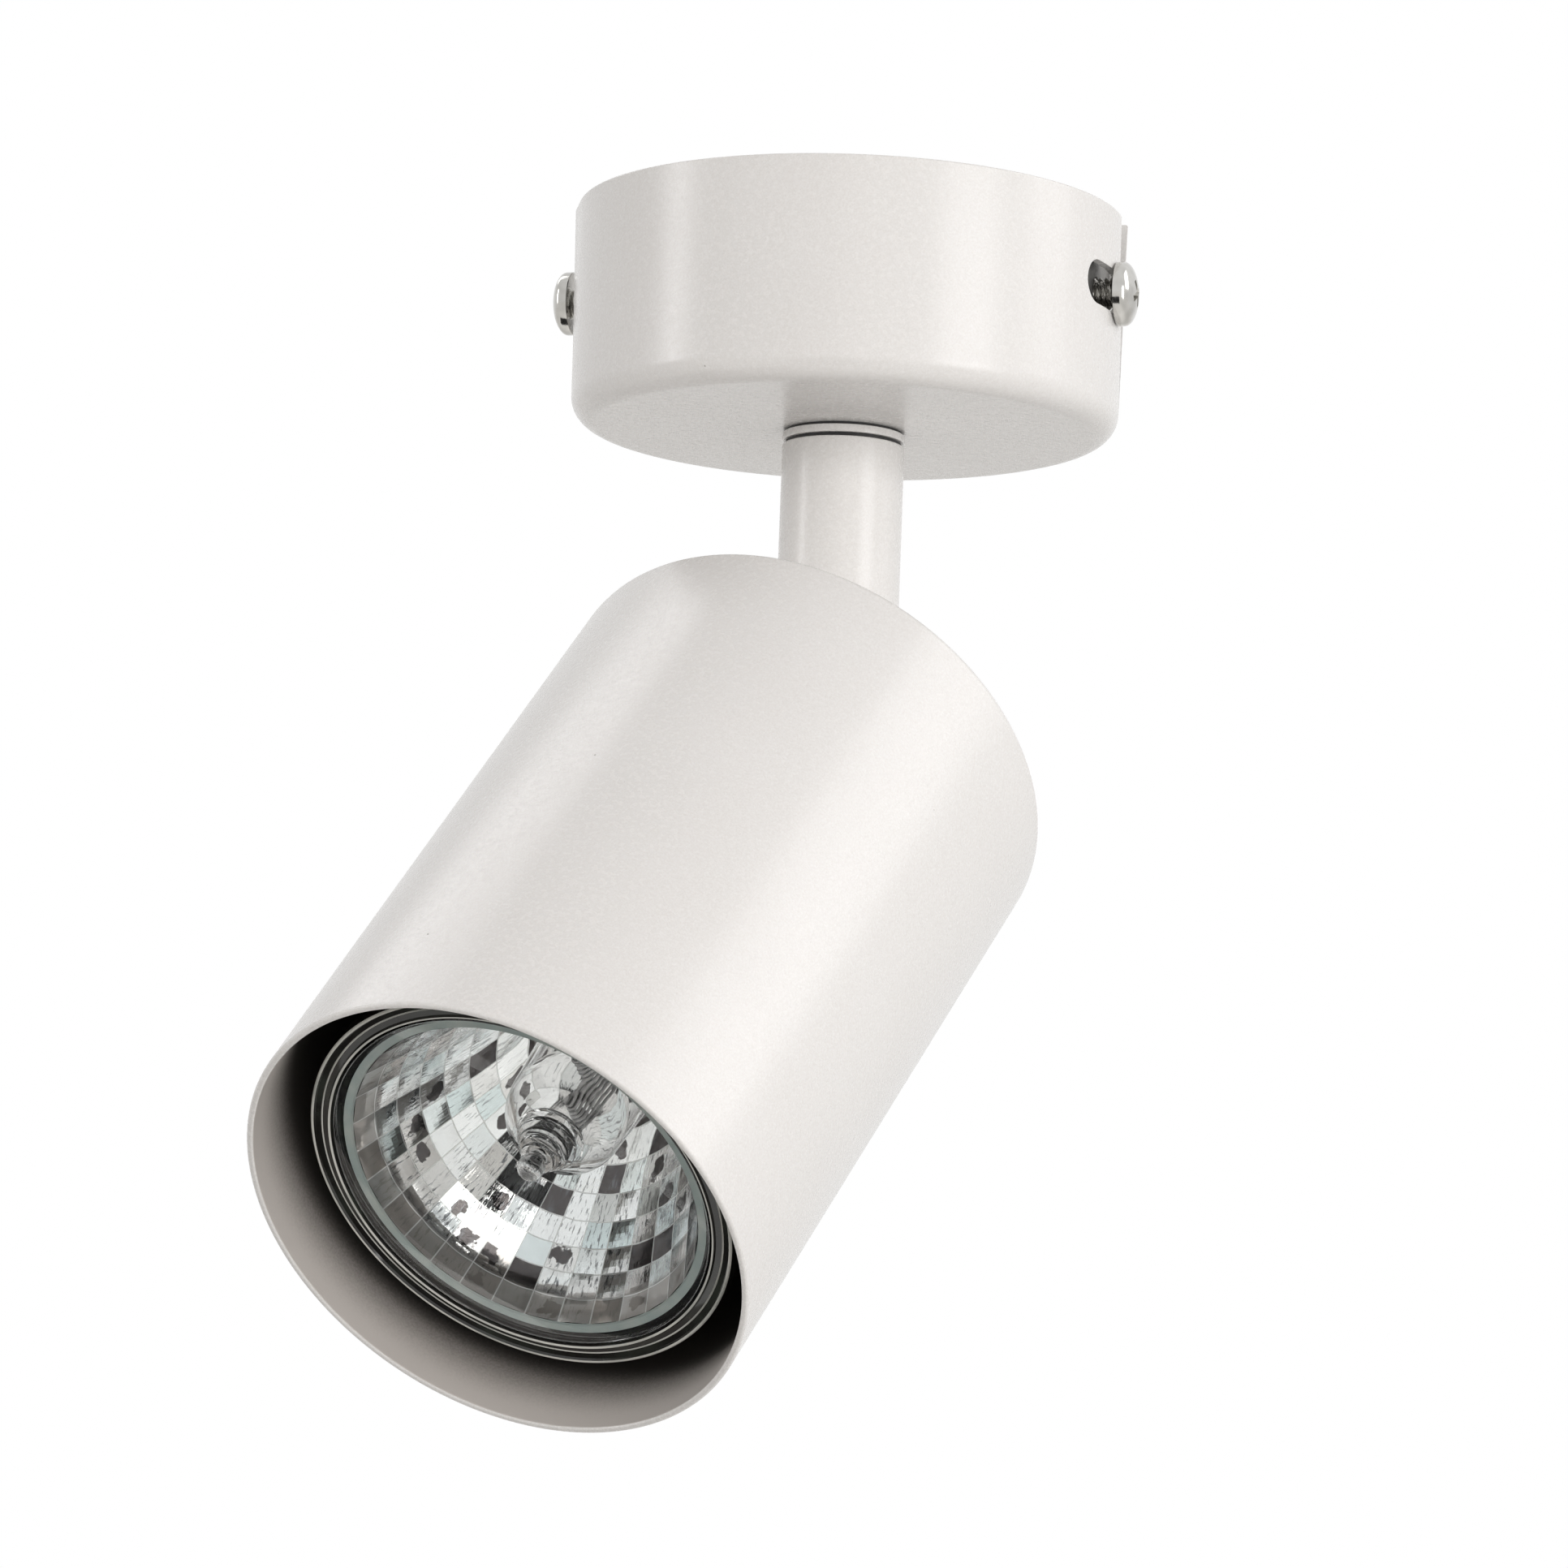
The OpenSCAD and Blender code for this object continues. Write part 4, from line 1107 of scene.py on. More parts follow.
class ThreadRule(Rule):
    """Threaded rod: a grid wrapped round Z whose radius follows a helix."""

    steps_round: ClassVar[int] = 48
    rows_per_pitch: ClassVar[int] = 8
    depth_share: ClassVar[float] = 0.6
    flank: ClassVar[float] = 1.15

    def __init__(self) -> None:
        """Build the tree."""
        super().__init__("thread_rule", Float=("Radius", "Depth", "Pitch", "Length"), Int=("Rows",))
        radius, depth, pitch, length = (self.given(name) for name in ("Radius", "Depth", "Pitch", "Length"))
        grid, turn, along = self.grid(self.steps_round + 1, self.given("Rows"))
        height = along * length
        phase = self.math("FRACT", height / pitch - turn)
        ridge = self.math("ABSOLUTE", phase * 2.0 - 1.0)
        crest = self.math("MINIMUM", ridge * self.flank, 1.0)
        taper = self.math("MINIMUM", self.math("MINIMUM", height, length - height) / pitch, 1.0)
        reach = radius - depth + depth * (crest * taper)
        angle = turn * math.tau
        self.bend(grid, reach * self.math("COSINE", angle), reach * self.math("SINE", angle), height)

    def rod(self, name: str, radius: float, pitch: float, ends: Point, bore: float, finish: Finish
            ) -> bpy.types.Object:
        """Threaded rod along local Z, in millimetres.

        Args:
            name: Name of the new piece.
            radius: Outer radius of the thread.
            pitch: Pitch of the thread.
            ends: Lower and upper end.
            bore: Radius of the bore, or 0 for a solid rod.
            finish: Finish of the rod.

        Returns:
            The rod, closed at both ends.
        """
        low, high = ends
        rows = max(8, round((high - low) / pitch * self.rows_per_pitch)) + 1
        rod = self.run(name, {"Radius": radius, "Depth": pitch * self.depth_share, "Pitch": pitch,
                              "Length": high - low, "Rows": rows, "Finish": finish.material()})
        work = bmesh.new()
        work.from_mesh(rod.data)
        rims = [edge for edge in work.edges if edge.is_boundary]
        if bore:
            self.line_bore(work, rims, bore, (high - low) / 2)
        else:
            bmesh.ops.holes_fill(work, edges=rims)
        bmesh.ops.recalc_face_normals(work, faces=work.faces)
        bmesh.ops.translate(work, verts=work.verts, vec=(0, 0, low))
        work.to_mesh(rod.data)
        work.free()
        shade(rod.data, THREAD_LIMIT)
        return rod

    def line_bore(self, work: bmesh.types.BMesh, rims: Sequence[bmesh.types.BMEdge], bore: float,
                  middle: float) -> None:
        """Close a rod's two ends round a bore.

        Args:
            work: The rod's open skin.
            rims: Its open edges.
            bore: Radius of the bore in millimetres.
            middle: Height half way along the rod.
        """
        inner = {}
        for vert in dict.fromkeys(vert for edge in rims for vert in edge.verts):
            share = bore / math.hypot(vert.co.x, vert.co.y)
            inner[vert] = work.verts.new((vert.co.x * share, vert.co.y * share, vert.co.z))
        for edge in rims:
            first, second = edge.verts
            work.faces.new([first, second, inner[second], inner[first]])
        low, high = (sorted((vert for vert in inner.values() if (vert.co.z > middle) == upper), key=bearing)
                     for upper in (False, True))
        for k in range(len(low)):
            work.faces.new([low[k - 1], low[k], high[k], high[k - 1]])


class FacetRule(Rule):
    """Faceted bowl: a grid bent to the mirror, with cells that swell a little between their corners."""

    overlap: ClassVar[float] = 1e-4
    crease_w: ClassVar[float] = 0.02
    swell_in: ClassVar[float] = 0.75
    swell_up: ClassVar[float] = 0.65

    def __init__(self) -> None:
        """Build the tree."""
        super().__init__("facet_rule", Float=("Outer", "Inner", "Seat", "Depth", "Spokes", "Rings", "Swell"),
                         Int=("Across", "Along"))
        grid, across, along = self.grid(self.given("Across"), self.given("Along"))
        spoke = across * self.given("Spokes") + self.overlap
        ring = along * self.given("Rings") + self.overlap
        in_spoke, in_ring = self.math("FRACT", spoke), self.math("FRACT", ring)
        near = self.math("MINIMUM", *(self.math("PINGPONG", share, 0.5) for share in (in_spoke, in_ring)))
        crease = self.math("LESS_THAN", near, self.crease_w)
        creased = self.value("GeometryNodeSetShadeSmooth", 0, {
            "Geometry": grid, "Selection": crease, "Shade Smooth": False}, domain="EDGE")
        swell = hump(in_spoke) * hump(in_ring) * self.given("Swell")
        row = self.math("FLOOR", ring)
        near_r, near_z = self.corner(row)
        far_r, far_z = self.corner(row + 1.0)
        radius = between(in_ring, near_r, far_r) - swell * self.swell_in
        height = between(in_ring, near_z, far_z) - swell * self.swell_up
        step = math.tau / self.given("Spokes")
        first = self.math("FLOOR", spoke) * step
        second = first + step
        x, y = (between(in_spoke, self.math(wave, first), self.math(wave, second))
                for wave in ("COSINE", "SINE"))
        self.bend(creased, radius * x, radius * y, height)

    def corner(self, row: Value) -> tuple[Value, Value]:
        """Find a ring of cell corners.

        Args:
            row: Place of the ring, from 0 at the edge.

        Returns:
            Its radius and its depth in the bowl.
        """
        outer, inner = self.given("Outer"), self.given("Inner")
        radius = between(row / self.given("Rings"), outer, inner)
        fall = (outer * outer - radius * radius) / (outer * outer - inner * inner)
        return radius, self.given("Seat") + fall * self.given("Depth")


class ScatterRule(Rule):
    """Copies of one part on points, each turned by the point's own turn."""

    def __init__(self) -> None:
        """Build the tree."""
        super().__init__("scatter_rule", Object=("Part",))
        part = self.value("GeometryNodeObjectInfo", "Geometry", {"Object": self.given("Part")})
        turn = self.value("GeometryNodeInputNamedAttribute", 0, {"Name": "turn"}, data_type="FLOAT_VECTOR")
        self.end(self.value("GeometryNodeInstanceOnPoints", 0, {
            "Points": self.given("Geometry"), "Instance": part,
            "Rotation": self.value("FunctionNodeEulerToRotation", 0, {0: turn})}))

    def lay(self, name: str, part: bpy.types.Object, seats: Sequence[Matrix], finish: Finish
            ) -> bpy.types.Object:
        """Lay copies of a part at some seats.

        Args:
            name: Name of the new piece.
            part: Part in local millimetres, removed afterwards.
            seats: Matrix of each copy, from local millimetres to the part's millimetres.
            finish: Finish of the copies.

        Returns:
            One piece with all the copies, in metres.
        """
        points = bpy.data.meshes.new(name)
        points.from_pydata([seat.to_translation() for seat in seats], [], [])
        turns = points.attributes.new("turn", "FLOAT_VECTOR", "POINT")
        for i, seat in enumerate(seats):
            turns.data[i].vector = seat.to_euler()
        piece = self.run(name, {"Part": part, "Finish": finish.material()}, points)
        bpy.data.objects.remove(part)
        piece.data.transform(Matrix.Scale(MM, 4))
        shade(piece.data, SCREW_LIMIT)
        return piece


@dataclass(frozen=True)
class Screw:
    """Cross-recess pan-head screw: the head's underside is at local zero and the shank points down."""

    diameter: float
    length: float
    pitch: float
    head_ratio: float = 1.9
    head_share: float = 0.6
    side_share: float = 0.35
    wing_reach: float = 0.46
    wing_width: float = 0.085
    recess_turn: float = 20.0

    def head_h(self) -> float:
        """Height of the head."""
        return self.diameter * self.head_share

    def build(self, threads: ThreadRule, finish: Finish) -> bpy.types.Object:
        """Build one screw in local millimetres.

        Args:
            threads: Rule of its thread.
            finish: Finish of the whole screw.

        Returns:
            The screw.
        """
        head_r, head_h = self.diameter * self.head_ratio / 2, self.head_h()
        rise = head_h * self.side_share
        section = [(0, 0), (head_r * 0.97, 0), (head_r, head_h * 0.04),
                   *bulge(head_r, head_h - rise, range(90, 180, 9), (0.0, rise)), (0, head_h)]
        head = lathe("screw_head", section, Seat(Matrix.Scale(1 / MM, 4)), 64)
        cut(head, [self.wing(turn) for turn in (0, 90)])
        head.data.materials.clear()
        head.data.materials.append(finish.material())
        rod = threads.rod("screw_rod", self.diameter / 2, self.pitch, (-self.length, 0.02), 0.0, finish)
        screw = join("screw", [head, rod])
        shade(screw.data, SCREW_LIMIT)
        return screw

    def wing(self, turn: float) -> bpy.types.Object:
        """Cutter of one tapered wing of the cross recess.

        Args:
            turn: Degrees of the wing round the screw.

        Returns:
            The cutter.
        """
        long, thin = self.wing_reach * self.diameter, self.wing_width * self.diameter
        rings = [[Vector((x * long * reach, y * thin * width, self.head_h() * height))
                  for x, y in ((-1, -1), (1, -1), (1, 1), (-1, 1))]
                 for height, reach, width in ((0.3, 0.45, 0.7), (1.2, 1.1, 1.25))]
        return loft("wing", rings, Matrix.Rotation(math.radians(turn + self.recess_turn), 4, "Z"))


@dataclass
class Kit:
    """Rules that the sub-assemblies build with."""

    threads: ThreadRule = field(default_factory=ThreadRule)
    facets: FacetRule = field(default_factory=FacetRule)
    scatter: ScatterRule = field(default_factory=ScatterRule)


@dataclass(frozen=True)
class Copy:
    """CAD node that is shown as a copy with softened edges, whose width is in millimetres."""

    node: str
    slot: Slot
    finish: Finish
    width: float


def leads(place: str) -> tuple[Copy, ...]:
    """The live, neutral and earth lead of one place."""
    return tuple(Copy(f"{place}_{pole.name.lower()}_lead", pole, Finish[pole.name], 0.02)
                 for pole in (Slot.LIVE, Slot.NEUTRAL, Slot.EARTH))


@dataclass
class Assembly:
    """Sub-assembly whose pieces ride on one body."""

    kit: Kit
    seat: Seat = UPRIGHT
    body: ClassVar[Body]
    copies: ClassVar[tuple[Copy, ...]]

    def build(self) -> None:
        """Build and dress every piece: first the new shapes, then the softened copies."""
        self.shapes()
        for copy in self.copies:
            piece = merged(copy.node)
            soften(piece, copy.width)
            self.dress(piece, copy.slot, copy.node, finish=copy.finish)

    def shapes(self) -> None:
        """Build and dress the pieces that are modelled anew."""
        raise NotImplementedError

    def dress(self, piece: bpy.types.Object, slot: Slot, *nodes: str, finish: Finish | None = None) -> None:
        """Give a piece its body and any finish, and let it stand for CAD nodes.

        Args:
            piece: Piece to dress.
            slot: Material slot of the record; not used.
            nodes: CAD nodes that it stands for.
            finish: Finish of a piece that has no material yet.
        """
        if finish:
            piece.data.materials.append(finish.material())
        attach(piece, self.body.value)
        if nodes:
            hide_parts(*nodes)
        log.info("%s rides on %s, %d faces", piece.name, self.body.value, len(piece.data.polygons))


@dataclass
class Canopy(Assembly):
    """Canopy, collar and bracket with what they hold."""

    wall: float = 1.0
    edge_r: float = 3.0
    rim_r: float = 0.25
    slot_w: float = 5.2
    slot_long: float = 9.6
    slot_short: float = 7.0
    slot_steps: int = 20
    entry_w: float = 4.8
    screw_drop: float = 10.0
    flare: float = 0.45
    flare_reach: float = 5.0
    bush_gap: float = 0.05
    groove: float = 0.34
    side_screw: Screw = Screw(4.0, 8.0, 0.7)
    right_spin: float = 12.0
    left_spin: float = 50.0
    body: ClassVar[Body] = Body.CANOPY
    copies: ClassVar[tuple[Copy, ...]] = (
        Copy("ceiling_bracket", Slot.ZINC, Finish.STEEL, 0.25),
        Copy("terminal_block", Slot.BLOCK, Finish.BLOCK, 0.2),
        Copy("terminal_clamps", Slot.BRASS, Finish.BRASS, 0.08),
        Copy("terminal_screws", Slot.ZINC, Finish.ZINC, 0.05),
        Copy("block_screw", Slot.ZINC, Finish.ZINC, 0.05),
        Copy("earth_screw", Slot.BRASS, Finish.BRASS, 0.06),
        Copy("bracket_earth_lead", Slot.EARTH, Finish.EARTH, 0.02),
        *leads("canopy"))

    def shapes(self) -> None:
        """Build and dress the canopy, its collar and its side screws."""
        self.shell()
        self.collar()
        self.side_screws()

    def shell(self) -> None:
        """Turn the canopy, cut its twist slots and spring the wall a little beyond each entry."""
        span = self.seat.span("canopy")
        hole, inner_r, floor = span.inner, span.outer - self.wall, span.low + self.wall
        section = outline([
            (hole, span.low, 0.0), (span.outer, span.low, self.edge_r), (span.outer, span.high, self.rim_r),
            (inner_r, span.high, self.rim_r), (inner_r, floor, self.edge_r - self.wall),
            (hole, floor, 0.0)], 8)
        piece = lathe("canopy_shell", section, self.seat, 288)
        cut(piece, [tool for side in (0, 180) for tool in self.slot_tools(span.outer, inner_r, side)])
        self.spring(piece, inner_r)
        shade(piece.data)
        soften(piece, 0.12)
        self.dress(piece, Slot.PAINT, "canopy", finish=Finish.PAINT)

    def slot_tools(self, outer: float, inner: float, side: float) -> list[bpy.types.Object]:
        """Cutters of the twist slot and its entry on one side.

        Args:
            outer: Outer radius of the canopy's wall.
            inner: Inner radius of the canopy's wall.
            side: Degrees of the side round the canopy.

        Returns:
            The two cutters.
        """
        seat = Seat(Matrix.Rotation(math.radians(side), 4, "Z"))
        near, far, half = inner - self.slot_long ** 2 / inner, outer + 1, self.slot_w / 2
        turns = [math.pi * k / self.slot_steps for k in range(self.slot_steps + 1)]
        ring = [(y + sign * half * math.sin(turn), -self.screw_drop + sign * half * math.cos(turn))
                for y, sign in ((self.slot_short - half, 1), (half - self.slot_long, -1)) for turn in turns]
        slot = loft("slot_tool", [[Vector((x, y, z)) for y, z in ring] for x in (near, far)], seat.place())
        entry = box("entry_tool", Vector((near, self.slot_short - self.entry_w, -self.screw_drop)),
                    Vector((far, self.slot_short, 1)), seat)
        return [slot, entry]

    def spring(self, piece: bpy.types.Object, inner: float) -> None:
        """Push the wall beyond each entry gap a little outwards.

        Args:
            piece: The canopy.
            inner: Inner radius of its wall.
        """
        for vert in piece.data.vertices:
            x, y, z = (c / MM for c in vert.co)
            past = (y if x > 0 else -y) - self.slot_short + 0.02
            if abs(x) < inner * 0.8 or past < 0 or past > self.flare_reach or z < -self.screw_drop:
                continue
            share = (1 - past / self.flare_reach) ** 2 * (1 + z / self.screw_drop)
            vert.co *= 1 + self.flare * share / math.hypot(x, y)
            vert.co.z = z * MM

    def collar(self) -> None:
        """Turn the collar, with a groove under the canopy whose faces are painted dark as shade in the gap.
        """
        span, canopy = self.seat.span("collar"), self.seat.span("canopy")
        bush, top, bottom = canopy.inner - self.bush_gap, canopy.low, canopy.low - self.groove
        waist = span.outer - self.groove
        section = outline([
            (span.inner, span.low, 0.1), (span.outer, span.low, 0.15), (span.outer, bottom, 0.06),
            (waist, bottom, 0.0), (waist, top, 0.0), (bush, top, 0.0), (bush, span.high, 0.1),
            (span.inner, span.high, 0.1)], 4)
        piece = lathe("collar_ring", section, self.seat, 128)
        level_normals(piece)
        # The groove's faces take the dark rubber finish as painted shade in the gap under the canopy.
        paint_faces(piece, self.seat, (Finish.PAINT.material(), Finish.RUBBER.material()), lambda r, z: int(
            bottom - 0.01 < z < top and bush + 0.1 < r < span.outer - 0.05))
        self.dress(piece, Slot.PAINT, "collar")

    def side_screws(self) -> None:
        """Lay the two side screws with their threads in the slots."""
        low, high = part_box("canopy_screws")
        part = self.side_screw.build(self.kit.threads, Finish.NICKEL)
        seats = [Matrix.Rotation(math.radians(side), 4, "Z")
                 @ Matrix.Translation((reach / MM - self.side_screw.head_h(), 0, -self.screw_drop))
                 @ Matrix.Rotation(math.radians(90), 4, "Y") @ Matrix.Rotation(math.radians(spin), 4, "Z")
                 for side, reach, spin in ((0, high.x, self.right_spin), (180, -low.x, self.left_spin))]
        piece = self.kit.scatter.lay("side_screws", part, seats, Finish.NICKEL)
        self.dress(piece, Slot.NICKEL, "canopy_screws")


@dataclass
class Stem(Assembly):
    """Stem tube, its hardware in the canopy and the upper half of the knuckle."""

    edge_r: float = 0.22
    nipple_pitch: float = 1.0
    body: ClassVar[Body] = Body.STEM
    copies: ClassVar[tuple[Copy, ...]] = (
        Copy("gasket_ring", Slot.RUBBER, Finish.RUBBER, 0.06),
        Copy("stem_insert", Slot.ZINC, Finish.ZINC, 0.1),
        Copy("thrust_washer", Slot.ZINC, Finish.ZINC, 0.12),
        Copy("spring_washer", Slot.SPRING, Finish.SPRING, 0.12),
        Copy("locknut", Slot.ZINC, Finish.ZINC, 0.25),
        Copy("upper_knuckle", Slot.PAINT, Finish.PAINT, 0.2),
        Copy("friction_washer", Slot.FIBRE, Finish.FIBRE, 0.03),
        Copy("pivot_screw", Slot.NICKEL, Finish.NICKEL, 0.08),
        Copy("pivot_nut", Slot.NICKEL, Finish.NICKEL, 0.2),
        *leads("stem"))

    def shapes(self) -> None:
        """Build and dress the stem tube and the nipple."""
        self.tube()
        self.nipple()

    def tube(self) -> None:
        """Turn the stem tube."""
        span = self.seat.span("stem_tube")
        section = outline([
            (span.inner, span.low, 0.1), (span.outer, span.low, self.edge_r),
            (span.outer, span.high, self.edge_r), (span.inner, span.high, 0.1)], 5)
        piece = lathe("stem_pipe", section, self.seat, 128)
        level_normals(piece)
        self.dress(piece, Slot.PAINT, "stem_tube", finish=Finish.PAINT)

    def nipple(self) -> None:
        """Cut the threaded hollow nipple."""
        span = self.seat.span("nipple")
        piece = self.kit.threads.rod("nipple_rod", span.outer, self.nipple_pitch, (span.low, span.high),
                                     span.inner, Finish.ZINC)
        piece.data.transform(self.seat.place())
        self.dress(piece, Slot.ZINC, "nipple")


@dataclass
class Head(Assembly):
    """Head shell, lower knuckle and lamp holder."""

    seat: Seat = field(default_factory=head_seat)
    wall: float = 0.8
    top_t: float = 1.5
    edge_r: float = 1.0
    rim_r: float = 0.3
    inner_edge_r: float = 0.6
    body: ClassVar[Body] = Body.HEAD
    copies: ClassVar[tuple[Copy, ...]] = (
        Copy("lower_knuckle", Slot.PAINT, Finish.PAINT, 0.2),
        Copy("lamp_bracket", Slot.ZINC, Finish.ZINC, 0.15),
        Copy("shank_washer", Slot.ZINC, Finish.ZINC, 0.12),
        Copy("shank_nut", Slot.ZINC, Finish.ZINC, 0.25),
        Copy("holder_body", Slot.CERAMIC, Finish.CERAMIC, 0.3),
        Copy("holder_contacts", Slot.BRASS, Finish.BRASS, 0.05),
        Copy("holder_screws", Slot.ZINC, Finish.ZINC, 0.06),
        Copy("head_earth_screw", Slot.BRASS, Finish.BRASS, 0.06),
        *leads("head"))

    def shapes(self) -> None:
        """Turn and dress the head shell; its inner wall has a coat of its own, with painted shade that
        darkens it with depth.
        """
        span = self.seat.span("head_shell")
        inner_r, ceiling = span.outer - self.wall, span.high - self.top_t
        section = outline([
            (span.inner, span.high, 0.0), (span.outer, span.high, self.edge_r),
            (span.outer, span.low, self.rim_r), (inner_r, span.low, self.rim_r),
            (inner_r, ceiling, self.inner_edge_r), (span.inner, ceiling, 0.0)], 6)
        piece = lathe("head_can", section, self.seat, 288)
        level_normals(piece)
        inward = (self.seat.matrix.to_3x3() @ Vector((0, 0, 1))).normalized()
        # The inner wall's material paints the shade that falls deeper in the head.
        inside = InnerCoatAndShade().make(self.seat.out(0, 0, span.low), inward)
        paint_faces(piece, self.seat, (Finish.PAINT.material(), inside), lambda r, z: int(
            r < inner_r + 0.05 and z < ceiling + 0.05))
        self.dress(piece, Slot.PAINT, "head_shell")


@dataclass
class Lamp(Assembly):
    """Reflector lamp with its faceted mirror, glass, capsule, filament and base, set out by depth."""

    seat: Seat = field(default_factory=lamp_seat)
    mirror_r: float = 20.6
    land_w: float = 1.1
    glass_r: float = 22.75
    rim_w: float = 2.8
    rim_depth: float = 2.6
    seat_depth: float = 2.25
    bowl_depth: float = 14.3
    back_start: float = 4.0
    back_depth: float = 18.0
    back_steps: int = 14
    hole_r: float = 8.6
    neck_wall: float = 1.6
    neck_end: float = 37.0
    spokes: int = 32
    rings: int = 7
    cell_steps: int = 4
    swell: float = 0.035
    nib_tip: float = 2.4
    nib_r: float = 1.5
    cone_r: float = 3.7
    cone_pitch: float = 0.66
    cone_steps: int = 5
    shoulder_drop: float = 5.6
    shoulder_h: float = 2.3
    capsule_r: float = 6.2
    capsule_end: float = 20.0
    quartz_t: float = 0.8
    pinch_w: float = 8.4
    pinch_t: float = 2.6
    pinch_start: float = 19.6
    pinch_end: float = 34.5
    filament_depth: float = 12.2
    coil_half: float = 2.7
    coil_r: float = 0.72
    coil_turns: int = 12
    turn_steps: int = 24
    wire_r: float = 0.13
    leg_r: float = 0.2
    leg_end: float = 17.0
    cement_top: float = 25.0
    cement_end: float = 27.5
    cement_gap: float = 0.3
    body: ClassVar[Body] = Body.LAMP
    copies: ClassVar[tuple[Copy, ...]] = (
        Copy("lamp_base", Slot.CERAMIC, Finish.CERAMIC, 0.3),
        Copy("lamp_pins", Slot.NICKEL, Finish.NICKEL, 0.2))

    def shapes(self) -> None:
        """Build and dress what shows through the front glass, and the glass."""
        self.bowl()
        self.front_glass()
        self.capsule()
        self.filament()
        self.cement()

    def bowl_section(self, outer: float) -> list[Point]:
        """Section of the pressed glass: land, rim, back and neck, from the mirror's edge to its end.

        Args:
            outer: Radius of the rim.

        Returns:
            Radius and depth of each point.
        """
        edge, glass, sunk, hole = self.mirror_r, self.glass_r, self.seat_depth, self.hole_r
        back, neck, end = outer - self.rim_w, hole + self.neck_wall, sunk + self.bowl_depth
        land = [(edge, sunk), (edge + 0.18, sunk - 0.25), (edge + self.land_w, sunk - 0.25),
                (edge + 1.3, sunk - 0.12), (glass - 0.35, sunk - 0.12), (glass - 0.2, sunk)]
        lip = [(glass + 0.02, sunk), (glass + 0.05, 0.35), (glass + 0.18, 0.08), (glass + 0.42, 0.0),
               (glass + 0.6, 0.25), (outer - 1.35, 0.42), (outer - 1.25, 0.34), (outer - 1.15, 0.42),
               (outer - 0.55, 0.3), (outer - 0.4, 0.04), (outer - 0.18, 0.0), (outer - 0.04, 0.12),
               (outer, 0.4), (outer, self.rim_depth - 0.3), (outer - 0.3, self.rim_depth)]
        radii = [back + (neck - back) * k / self.back_steps for k in range(self.back_steps + 1)]
        skin = [(r, self.back_start + self.back_depth * (back ** 2 - r ** 2) / (back ** 2 - neck ** 2))
                for r in radii]
        throat = [(neck, self.neck_end), (hole, self.neck_end), (hole, end + 1.2), (hole - 0.25, end + 1.0),
                  (hole - 0.25, end + 0.6), (hole, end + 0.4), (hole, end)]
        return land + lip + skin + throat

    def rim_tone(self, radius: float, depth: float, highlight_lines: Sequence[Point]) -> int:
        """Pick the tone of a face of the pressed glass.

        Args:
            radius: Radius of the face's middle.
            depth: Depth of the face's middle.
            highlight_lines: Inner and outer radius of each bright line.

        Returns:
            0 for dark glass, which is painted shade, 1 for a bright line, which is a painted highlight, 2
            for the land and 3 for the neck.
        """
        if depth < self.rim_depth / 2 and any(inner < radius < outer for inner, outer in highlight_lines):
            return 1
        if self.mirror_r < radius < self.mirror_r + self.land_w and depth < self.seat_depth:
            return 2
        return 3 if radius < self.hole_r + 0.01 else 0

    def bowl(self) -> None:
        """Pressed glass bowl with its rim, land ring and faceted mirror; the rim has painted shade and
        painted highlight rings, the mirror painted reflections.
        """
        outer, glass_r = self.seat.span("lamp_reflector").outer, self.glass_r
        # Radii of the ridges whose faces take the painted highlight.
        highlight_lines = ((self.mirror_r, self.mirror_r + 0.18), (glass_r + 0.12, glass_r + 0.45),
                 (outer - 1.33, outer - 1.16), (outer - 0.42, outer - 0.03))
        glass = lathe("bowl_glass", self.bowl_section(outer), self.seat, 256, closed=False)
        tones = [tone.material()
                 for tone in (Finish.RIM_DARK, Finish.RIM_LINE, Finish.RIM_LAND, Finish.NECK)]
        paint_faces(glass, self.seat, tones, lambda radius, depth: self.rim_tone(radius, depth, highlight_lines))
        facets = self.kit.facets.run("bowl_mirror", {
            "Outer": self.mirror_r, "Inner": self.hole_r, "Seat": self.seat_depth, "Depth": self.bowl_depth,
            "Spokes": float(self.spokes), "Rings": float(self.rings), "Swell": self.swell,
            "Across": self.spokes * self.cell_steps + 1, "Along": self.rings * self.cell_steps + 1,
            "Finish": MirrorCoatAndReflections().make(self.seat, self.spokes, self.rings, self.mirror_r, self.hole_r)})
        facets.data.transform(self.seat.place())
        self.dress(join("reflector_bowl", [glass, facets]), Slot.MIRROR, "lamp_reflector")

    def front_glass(self) -> None:
        """Clear disc in the bowl's rim."""
        span = self.seat.span("lamp_front_glass")
        section = outline([(0, span.low, 0.0), (span.outer, span.low, 0.3), (span.outer, span.high, 0.15),
                           (0, span.high, 0.0)], 4)
        piece = lathe("cover_glass", section, self.seat, 192)
        self.dress(piece, Slot.GLASS, "lamp_front_glass", finish=Finish.GLASS)

